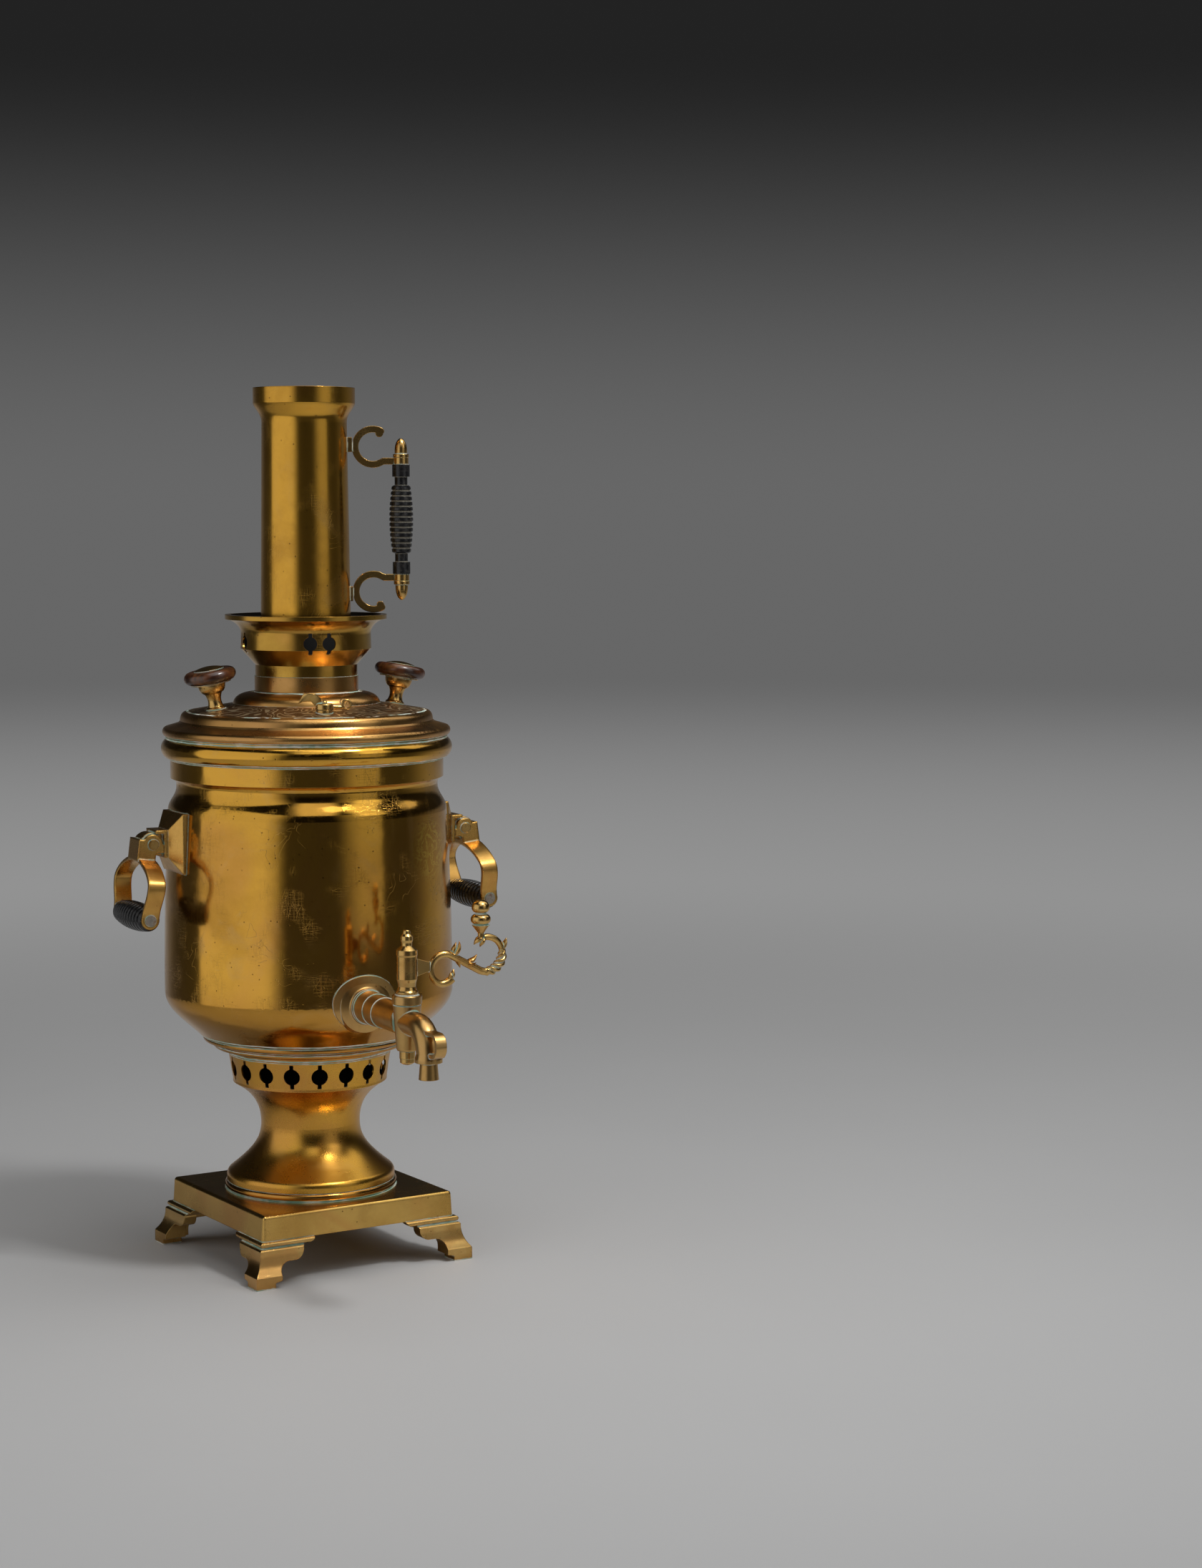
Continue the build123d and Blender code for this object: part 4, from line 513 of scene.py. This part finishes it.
def grip_black_finish():
    """Ebonised turned wood, with pale dust and wear in the grooves."""
    material, tree, shader, vector = new_material("black_grip")
    cloud = noise(tree, vector, 260.0, 4.0, 0.65)
    grooves = openness(tree, 1.6 * MM, samples=12, only_local=True)
    grooves = between(tree, grooves, 0.60, 0.78, 1.0, 0.0)
    dust = calc(tree, "MULTIPLY", grooves, between(tree, cloud, 0.25, 0.6, 0.6, 1.0))
    colour = mixed(tree, between(tree, cloud, 0.45, 0.8), EBONY, GREY_EBONY)
    rough = calc(tree, "MULTIPLY_ADD", cloud, 0.3, 0.12)
    feed(tree, shader.inputs, {
        "Base Color": mixed(tree, dust, colour, DUST),
        "Roughness": mixed(tree, dust, rough, DUST_ROUGHNESS),
        "Normal": bumped(tree, cloud, 0.2)})
    return material


def iron_finish():
    """Sooty, rusty cast iron."""
    material, tree, shader, vector = new_material("grate_iron")
    cloud = noise(tree, vector, 140.0, 5.0, 0.7)
    feed(tree, shader.inputs, {
        "Base Color": mixed(tree, between(tree, cloud, 0.4, 0.75), IRON, RED_RUST),
        "Roughness": between(tree, cloud, 0.2, 0.8, 0.6, 0.9),
        "Normal": bumped(tree, cloud, 0.6, 0.5 * MM)})
    return material


def steel_finish():
    """Dull drawn steel rod with brown rust spots."""
    material, tree, shader, vector = new_material("rod_steel")
    cloud = noise(tree, vector, 300.0, 5.0, 0.7)
    rust = between(tree, cloud, 0.5, 0.68)
    feed(tree, shader.inputs, {
        "Base Color": mixed(tree, rust, STEEL, BROWN_RUST),
        "Metallic": calc(tree, "SUBTRACT", 1.0, rust),
        "Roughness": between(tree, cloud, 0.3, 0.7, 0.3, 0.7)})
    return material


def flue_finish():
    """Tinned flue with pale lime scale outside and soot inside."""
    material, tree, shader, vector = new_material("flue_tin")
    inside = inside_of(tree, vector)
    scale = between(tree, noise(tree, vector, 60.0, 5.0, 0.65), 0.42, 0.62)
    dull = calc(tree, "MAXIMUM", inside, scale)
    feed(tree, shader.inputs, {
        "Base Color": mixed(tree, inside, mixed(tree, scale, TIN, LIME_SCALE), SOOT),
        "Metallic": calc(tree, "SUBTRACT", 1.0, dull),
        "Roughness": calc(tree, "MULTIPLY_ADD", dull, 0.45, 0.4)})
    return material


knob_wood = knob_wood_finish()
flue_tin = flue_finish()
grip_black = grip_black_finish()
grate_iron = iron_finish()
rod_steel = steel_finish()

BY_NAME = {
    "grate": grate_iron, "lid": lid_brass, "lid_skirt": lid_brass, "pedestal": pedestal_brass,
    "vent_gallery": pedestal_brass, "bottom_rings": ring_brass, "plinth_ring": ring_brass,
    "tap_body": tap_brass, "tap_flange": tap_brass, "spout_loop": tap_brass,
    "base_plate": plate_brass, "chimney_pipe": pipe_brass, "crown": crown_brass,
    "flue_tube": flue_tin, "urn_body": urn_brass, "rim_collar": collar_brass}
# the first start that fits a name counts, so the rods stand before the grips
BY_START = (("grip_rod", rod_steel), ("pipe_grip_rod", rod_steel), ("knob_disc", knob_wood),
            ("handle_grip", grip_black), ("pipe_grip", grip_black),
            ("handle_bail", handle_brass), ("handle_bracket", handle_brass))


def finish_of(name):
    """Which finish a CAD node gets; the small castings share one."""
    for start, finish in BY_START:
        if name.startswith(start):
            return finish
    return BY_NAME.get(name, cast_brass)


def coat(piece, finish):
    """Give a piece one finish."""
    piece.data.materials.clear()
    piece.data.materials.append(finish)


for name, node in nodes.items():
    coat(node, finish_of(name))


def added(name, data):
    """A new object in the scene with that curve or mesh."""
    thing = bpy.data.objects.new(name, data)
    bpy.context.scene.collection.objects.link(thing)
    return thing


def pick(things):
    """Select these and nothing else; the first is the active one."""
    bpy.ops.object.select_all(action="DESELECT")
    for thing in things:
        thing.select_set(True)
    bpy.context.view_layer.objects.active = things[0]


def cross_section(name, lobes=0, ridge=0.0, flat=1.0):
    """Outline of a bar 1 mm in radius: round or flattened, with ridges round it if it has lobes."""
    corners = 30
    curve = bpy.data.curves.new(name, "CURVE")
    curve.dimensions = "2D"
    spline = curve.splines.new("POLY")
    spline.points.add(corners - 1)
    for i, point in enumerate(spline.points):
        angle = math.tau * i / corners
        reach = MM * (1 + ridge * (abs(math.cos(lobes * angle / 2)) - 0.6) * bool(lobes))
        point.co = (reach * math.cos(angle), flat * reach * math.sin(angle), 0, 1)
    spline.use_cyclic_u = True
    return added(name, curve)


def swept(name, points, radii, section, turns=0.0):
    """A bar swept along points; its radius in mm follows the list radii and it may be twisted."""
    curve = bpy.data.curves.new(name, "CURVE")
    curve.dimensions = "3D"
    curve.bevel_mode = "OBJECT"
    curve.bevel_object = section
    curve.use_fill_caps = True
    spline = curve.splines.new("POLY")
    last = len(points) - 1
    spline.points.add(last)
    for i, (point, place) in enumerate(zip(spline.points, points)):
        share = i / last * (len(radii) - 1)
        low = min(int(share), len(radii) - 2)
        point.co = (*place, 1)
        point.radius = radii[low] + (radii[low + 1] - radii[low]) * (share - low)
        point.tilt = math.tau * turns * i / last
    pick([added(name, curve)])
    bpy.ops.object.convert(target="MESH")
    return bpy.context.object


def joined(name, pieces, angle=40):
    """One object made of several, smooth apart from its sharp edges."""
    pick(pieces)
    if len(pieces) > 1:
        bpy.ops.object.join()
    whole = bpy.context.object
    whole.name = name
    bpy.ops.object.mode_set(mode="EDIT")
    bpy.ops.mesh.select_all(action="SELECT")
    bpy.ops.mesh.normals_make_consistent(inside=False)
    bpy.ops.object.mode_set(mode="OBJECT")
    bpy.ops.object.shade_smooth_by_angle(angle=math.radians(angle))
    return whole


def arc(middle, radius, start, stop, steps=24, end_radius=None):
    """Points (x, z) in mm round a middle, between two angles; the radius may change on the way."""
    end_radius = radius if end_radius is None else end_radius
    out = []
    for i in range(steps + 1):
        share = i / steps
        angle = math.radians(start + (stop - start) * share)
        reach = radius + (end_radius - radius) * share
        out.append((middle[0] + reach * math.cos(angle), middle[1] + reach * math.sin(angle)))
    return out


def bowed(root, heading, length, curl, steps=10):
    """Points (x, z) in mm of a stalk that leaves root at a heading and curls by an angle."""
    out = [root]
    for i in range(steps):
        angle = math.radians(heading + curl * (i + 0.5) / steps)
        x, z = out[-1]
        out.append((x + length / steps * math.cos(angle), z + length / steps * math.sin(angle)))
    return out


PLUG = (0.0, -185.0, 207.5)


def on_plug(points, shift=0.0):
    """Points of the branch's plane as places in metres; shift is across the plane, in mm."""
    return [((PLUG[0] + x) * MM, (PLUG[1] + shift) * MM, (PLUG[2] + z) * MM) for x, z in points]


# each leaf of the branch: root (x, z), heading, length, curl, shift across the plane, thickness
LEAVES = (
    ((36.0, 45.6), 74, 9.5, -8, 0.9, 0.9), ((37.2, 45.4), 38, 11.0, 62, -0.7, 0.95),
    ((38.5, 43.2), 306, 8.5, -22, 0.5, 0.95),
    ((46.5, 39.0), 2, 11.0, 58, 0.8, 1.15), ((47.0, 38.6), 342, 7.5, 36, -0.8, 0.9),
    ((35.2, 28.2), 62, 7.2, 30, 0.9, 0.95), ((34.6, 27.9), 112, 5.4, -30, -0.8, 0.8),
    ((75.6, 46.4), 74, 9.5, -14, 0.5, 0.8), ((75.6, 46.8), 52, 8.5, 30, -0.5, 0.7),
    ((61.0, 56.6), 190, 9.5, 46, 0.9, 1.25), ((60.8, 55.9), 232, 7.0, 14, -0.9, 1.0))
LEAF_RADII = (1.5, 2.4, 2.8, 2.6, 2.0, 1.1, 0.2)
BAR_RADII = (3.0, 2.9, 2.5, 2.3, 2.3, 2.4, 2.5, 2.8, 2.6, 2.8, 2.8, 2.5, 2.3, 2.2, 2.2, 2.4, 2.5)
ROPE_RADII = (2.0, 2.8, 3.1, 3.3, 3.3, 3.1, 2.8, 2.0)


def make_key_branch():
    """Scrolled handle of the key: hook, stem and loop with a rope twist, and split leaves."""
    hook, loop, loop_radius = (29.6, 35.5), (62.8, 44.1), 12.6
    leave, arrive = (34.8, 45.1), (56.7, 33.1)
    plain = cross_section("plain_section")
    blade = cross_section("leaf_section", flat=0.62)
    rope = cross_section("rope_section", lobes=3, ridge=0.55)
    stem = [(leave[0] + (arrive[0] - leave[0]) * i / 12,
             leave[1] + (arrive[1] - leave[1]) * i / 12) for i in range(1, 12)]
    line = arc(hook, 9.2, -52, -110, 14, end_radius=10.9) + arc(hook, 10.9, -112, -298.7, 40)
    line += stem + arc(loop, loop_radius, -118.7, 100, 46)
    twist = arc(loop, loop_radius, -104, 14, 60)
    parts = [swept("key_branch_bar", on_plug(line), BAR_RADII, plain),
             swept("key_branch_rope", on_plug(twist), ROPE_RADII, rope, turns=1.9)]
    for i, (root, heading, length, curl, shift, size) in enumerate(LEAVES):
        stalk = on_plug(bowed(root, heading, length, curl), shift)
        radii = [size * radius for radius in LEAF_RADII]
        parts.append(swept("key_leaf_%d" % i, stalk, radii, blade))
    for section in (plain, blade, rope):
        bpy.data.objects.remove(section)
    branch = joined("key_branch_cast", parts, 50)
    coat(branch, cast_brass)
    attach(branch, "key")
    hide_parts("key_branch")


VENT = (-14.93, -71.46, 422.2)
VENT_TURN = math.radians(-11.8)


def on_vent(x, y, z):
    """A place of the steam cap, in mm from its pin along and across its wing, in metres."""
    c, s = math.cos(VENT_TURN), math.sin(VENT_TURN)
    return ((VENT[0] + c * x - s * y) * MM, (VENT[1] + s * x + c * y) * MM, (VENT[2] + z) * MM)


def eased(table, share):
    """The value of a table of (share, value) at a share, eased from each row to the next."""
    for (a, low), (b, high) in zip(table, table[1:]):
        if share <= b + 1e-9:
            part = (share - a) / (b - a)
            part = part * part * (3 - 2 * part)
            return low + (high - low) * part
    return table[-1][1]


# heights in mm of the wing's two edges, from its root to its tip
WING_LOWER = ((0.0, 3.0), (0.12, 3.0), (0.3, 3.4), (0.42, 5.4), (0.55, 8.3), (0.8, 8.0), (1.0, 6.6))
WING_UPPER = ((0.0, 5.6), (0.15, 8.0), (0.3, 12.0), (0.42, 14.2), (0.7, 14.6), (0.85, 14.6),
              (1.0, 14.2))


def cap_hub():
    """Turned hub of the steam cap, its top edge rounded."""
    bpy.ops.mesh.primitive_cylinder_add(vertices=64, radius=6.4 * MM, depth=4.6 * MM,
                                        location=on_vent(0, 0, 4.4), end_fill_type="NGON")
    hub = bpy.context.object
    bpy.ops.object.mode_set(mode="EDIT")
    bpy.ops.mesh.select_all(action="DESELECT")
    bpy.ops.object.mode_set(mode="OBJECT")
    max(hub.data.polygons, key=lambda face: face.center.z).select = True
    bpy.ops.object.mode_set(mode="EDIT")
    bpy.ops.mesh.select_mode(type="FACE")
    bpy.ops.mesh.bevel(offset=1.3 * MM, segments=4, affect="EDGES")
    bpy.ops.object.mode_set(mode="OBJECT")
    return hub


def cap_wing():
    """Folded wing of the steam cap, in thick sheet."""
    bpy.ops.mesh.primitive_grid_add(x_subdivisions=28, y_subdivisions=12, size=2)
    wing = bpy.context.object
    for vertex in wing.data.vertices:
        along, up = (1 - vertex.co.x) / 2, (vertex.co.y + 1) / 2
        foot = eased(WING_LOWER, along)
        z = foot + (eased(WING_UPPER, along) - foot) * up
        x = 1.5 - along * (21.0 - 4.0 * up * along)
        y = 2.6 * math.sin(math.pi * along) - 1.2 + 2.4 * (up - 0.5) * math.sin(2.2 * along)
        vertex.co = Vector(on_vent(x, -y, z))
    thick = wing.modifiers.new("thick", "SOLIDIFY")
    thick.thickness = 1.4 * MM
    thick.offset = 0
    wing.modifiers.new("smooth", "SUBSURF").levels = 1
    for name in ("thick", "smooth"):
        bpy.ops.object.modifier_apply(modifier=name)
    return wing


def make_steam_cap():
    """Swivel cover of the steam hole: a turned hub, a folded wing of sheet and a curled eye."""
    parts = [cap_hub(), cap_wing()]
    strip = cross_section("strip_section", flat=0.32)
    plain = cross_section("arm_section")
    arm = [on_vent(2 + 12 * i / 10, 0, 4.0 - 0.4 * i / 10) for i in range(11)]
    parts.append(swept("cap_arm", arm, (2.2, 2.3, 2.0, 1.6, 1.4), plain))
    # the eye is a round curl and a flat one: middle, shift, angles, radii, section
    for middle, shift, start, stop, first, last, section in (
            ((16.4, 5.8), -0.9, -100, 270, 3.3, 3.0, plain),
            ((14.2, 7.2), 1.4, -60, 330, 2.9, 1.6, strip)):
        ring = [on_vent(x, shift, z) for x, z in arc(middle, first, start, stop, 40, last)]
        parts.append(swept("cap_eye", ring, (0.5, 0.95, 1.0, 1.0, 0.95, 0.6), section))
    for section in (strip, plain):
        bpy.data.objects.remove(section)
    cap = joined("steam_cap_cast", parts, 45)
    coat(cap, cast_brass)
    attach(cap, "steam_cap")
    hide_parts("steam_vent_cap")


ARM_LOW, ARM_HIGH = 276 * MM, 312 * MM
ARM_BOW, ARM_SPREAD, ARM_CUTS = 5.5 * MM, 26 * MM, 12


def bow_out_bail(side):
    """The bail of one side, its arms bowed out between the head and the grip."""
    node = nodes["handle_bail_" + side]
    bail = added("bowed_bail_" + side, node.data.copy())
    pick([bail])
    bpy.ops.mesh.customdata_custom_splitnormals_clear()
    bpy.ops.object.mode_set(mode="EDIT")
    bpy.ops.mesh.select_all(action="SELECT")
    bpy.ops.mesh.remove_doubles(threshold=0.01 * MM)
    for i in range(ARM_CUTS + 1):
        level = ARM_LOW + (ARM_HIGH - ARM_LOW) * i / ARM_CUTS
        bpy.ops.mesh.select_all(action="SELECT")
        bpy.ops.mesh.bisect(plane_co=(0, 0, level), plane_no=(0, 0, 1))
    bpy.ops.object.mode_set(mode="OBJECT")
    for vertex in bail.data.vertices:
        share = min(max((vertex.co.z - ARM_LOW) / (ARM_HIGH - ARM_LOW), 0), 1)
        bow = ARM_BOW * math.sin(math.pi * share) ** 1.5
        vertex.co.y += math.copysign(bow, vertex.co.y) * min(abs(vertex.co.y) / ARM_SPREAD, 1)
    bail = joined(bail.name, [bail], 30)
    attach(bail, "bail_" + side)
    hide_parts(node.name)


make_key_branch()
make_steam_cap()
for side in ("left", "right"):
    bow_out_bail(side)


# ------------------------------------------------------------ floor, lamps and camera
BACKDROP = 0.135
BACKDROP_COLOUR = (BACKDROP, BACKDROP, BACKDROP, 1)
DIM_SHARE = 0.35
MIRROR_EDGE, MIRROR_EDGE_SOFT = 0.9, 0.2
FLOOR_RADIUS = 40
FLOOR_FADE = (0.3, 2.4)
# painted light: the floor's glow is this much stronger near the middle, fading to the backdrop over
# this reach
FLOOR_PAINTED_GLOW, FLOOR_PAINTED_GLOW_REACH = 2.25, (1.0, 8.0)
SKY_SHARE, SKY_TOP = 0.12, 0.15
BRIGHT_WAY = (math.sin(math.radians(42)), math.cos(math.radians(42)), 0)


def bright_side(tree, vector):
    """How far a direction points at the lit backdrop, which stands behind and to the right."""
    heading = vector_calc(tree, "NORMALIZE", vector)
    return between(tree, vector_calc(tree, "DOT_PRODUCT", heading, BRIGHT_WAY), 0.25, 0.85)


def room_glow(tree, vector):
    """The backdrop's strength in a direction: full where it is lit, dim elsewhere."""
    return calc(tree, "MULTIPLY_ADD", bright_side(tree, vector), 1 - DIM_SHARE, DIM_SHARE)


def floor_finish():
    """Pale matt floor that melts into the backdrop through a painted glow, painted light that is
    brighter near the middle and dim away from the lit side; polished metal sees only the near part
    of it away from the lit side."""
    material, tree, shader, vector = new_material("floor")
    cloud = noise(tree, vector, 3.0, 2.0)
    feed(tree, shader.inputs, {
        "Base Color": mixed(tree, cloud, DARK_FLOOR, PALE_FLOOR),
        "Roughness": 0.6})
    away = vector_calc(tree, "LENGTH", vector)
    rays = put(tree, "LightPath").outputs
    seen = calc(tree, "MAXIMUM", rays["Is Camera Ray"], rays["Is Glossy Ray"])
    seen = calc(tree, "MAXIMUM", seen, rays["Is Transmission Ray"])
    # painted light: the floor glows as if lit, brighter near the middle and on the lit side, dim
    # elsewhere
    painted_glow_nearness = between(tree, away, *FLOOR_PAINTED_GLOW_REACH, FLOOR_PAINTED_GLOW, 1.0)
    strength = calc(tree, "MULTIPLY", room_glow(tree, vector), painted_glow_nearness)
    painted_floor_glow = put(tree, "Emission", {"Color": BACKDROP_COLOUR, "Strength": strength})
    melted = calc(tree, "MULTIPLY", between(tree, away, *FLOOR_FADE), seen)
    both = put(tree, "MixShader", {0: melted, 1: shader.outputs[0], 2: painted_floor_glow.outputs[0]})
    past_edge = calc(tree, "MULTIPLY",
                     between(tree, away, MIRROR_EDGE, MIRROR_EDGE + MIRROR_EDGE_SOFT),
                     calc(tree, "SUBTRACT", 1.0, bright_side(tree, vector)))
    hidden = calc(tree, "MULTIPLY", past_edge, rays["Is Glossy Ray"])
    clear = put(tree, "BsdfTransparent")
    whole = put(tree, "MixShader", {0: hidden, 1: both.outputs[0], 2: clear.outputs[0]})
    feed(tree, tree.nodes["Material Output"].inputs, {"Surface": whole.outputs[0]})
    return material


bpy.ops.mesh.primitive_circle_add(vertices=96, radius=FLOOR_RADIUS, fill_type="NGON",
                                  location=(0, 0, 0))
floor = bpy.context.object
floor.name = "floor"
floor.data.materials.append(floor_finish())

VIEW_TURN = math.radians(-22)
back = Vector((math.sin(VIEW_TURN), -math.cos(VIEW_TURN), 0))
right = Vector((math.cos(VIEW_TURN), math.sin(VIEW_TURN), 0))
LAMP_AIM = Vector((0, 0, 0.3))


def panel_lamp(name, turn, lift, distance, width, tall, radiance, fade=None):
    """A flat soft lamp aimed at the middle; turn is to the right of the camera, lift above it.

    fade gives the shares of its width over which it dims towards its two upright sides."""
    turn, lift = math.radians(turn), math.radians(lift)
    level_way = back * math.cos(turn) + right * math.sin(turn)
    way = level_way * math.cos(lift) + Vector((0, 0, math.sin(lift)))
    bpy.ops.object.light_add(type="AREA", location=LAMP_AIM + way * distance)
    lamp = bpy.context.object
    lamp.name = name
    lamp.rotation_euler = (-way).to_track_quat("-Z", "Y").to_euler()
    lamp.data.shape = "RECTANGLE"
    lamp.data.size = width
    lamp.data.size_y = tall
    lamp.data.energy = radiance * math.pi * width * tall
    if fade:
        lamp.data.use_nodes = True
        tree = lamp.data.node_tree
        place = put(tree, "NewGeometry").outputs["Parametric"]
        across = put(tree, "SeparateXYZ", {"Vector": place}).outputs[0]
        level = calc(tree, "MULTIPLY", between(tree, across, 0.0, fade[0]),
                     between(tree, across, 1 - fade[1], 1.0, 1.0, 0.0))
        feed(tree, tree.nodes["Emission"].inputs, {"Strength": level})


# name, turn, lift, distance, width, height, radiance
panel_lamp("left_panel", -56, 10, 2.0, 3.5, 2.7, 0.66, fade=(0.04, 0.3))
panel_lamp("right_panel", 42, 14, 2.1, 1.6, 1.6, 0.34, fade=(0.55, 0.05))
panel_lamp("right_high_panel", 56, 38, 2.2, 1.2, 1.1, 1.0, fade=(0.35, 0.2))
panel_lamp("high_lamp", 50, 58, 2.2, 0.32, 0.32, 48.0)
panel_lamp("front_panel", 8, 47, 2.2, 1.5, 0.9, 0.85, fade=(0.3, 0.3))
panel_lamp("back_right_panel", 112, 44, 2.2, 1.3, 1.2, 0.9, fade=(0.3, 0.3))
panel_lamp("top_panel", 60, 76, 2.4, 2.2, 2.0, 1.5)

world = bpy.data.worlds.new("studio")
world.use_nodes = True
tree = world.node_tree
outward = put(tree, "TexCoord").outputs["Generated"]
dusk = between(tree, height_of(tree, outward), 0.0, SKY_TOP, 1.0, SKY_SHARE)
feed(tree, tree.nodes["Background"].inputs, {
    "Color": BACKDROP_COLOUR, "Strength": calc(tree, "MULTIPLY", room_glow(tree, outward), dusk)})
bpy.context.scene.world = world

DISTANCE, HEIGHT = 2.271, 0.5728
PITCH, YAW = math.radians(5.314), math.radians(5.67)
SENSOR, FOCAL_PIXELS, FRAME_PIXELS = 36, 4150, 2192
ahead = -back * math.cos(YAW) + right * math.sin(YAW)
sideways = ahead.cross(Vector((0, 0, 1))).normalized()
ahead = ahead * math.cos(PITCH) + Vector((0, 0, -math.sin(PITCH)))
turned = Matrix((sideways, sideways.cross(ahead), -ahead)).transposed().to_4x4()
bpy.ops.object.camera_add()
camera = bpy.context.object
camera.matrix_world = Matrix.Translation(back * DISTANCE + Vector((0, 0, HEIGHT))) @ turned
camera.data.sensor_fit = "VERTICAL"
camera.data.sensor_height = SENSOR
camera.data.lens = FOCAL_PIXELS / FRAME_PIXELS * SENSOR
bpy.context.scene.camera = camera
bpy.context.scene.view_settings.view_transform = "Standard"
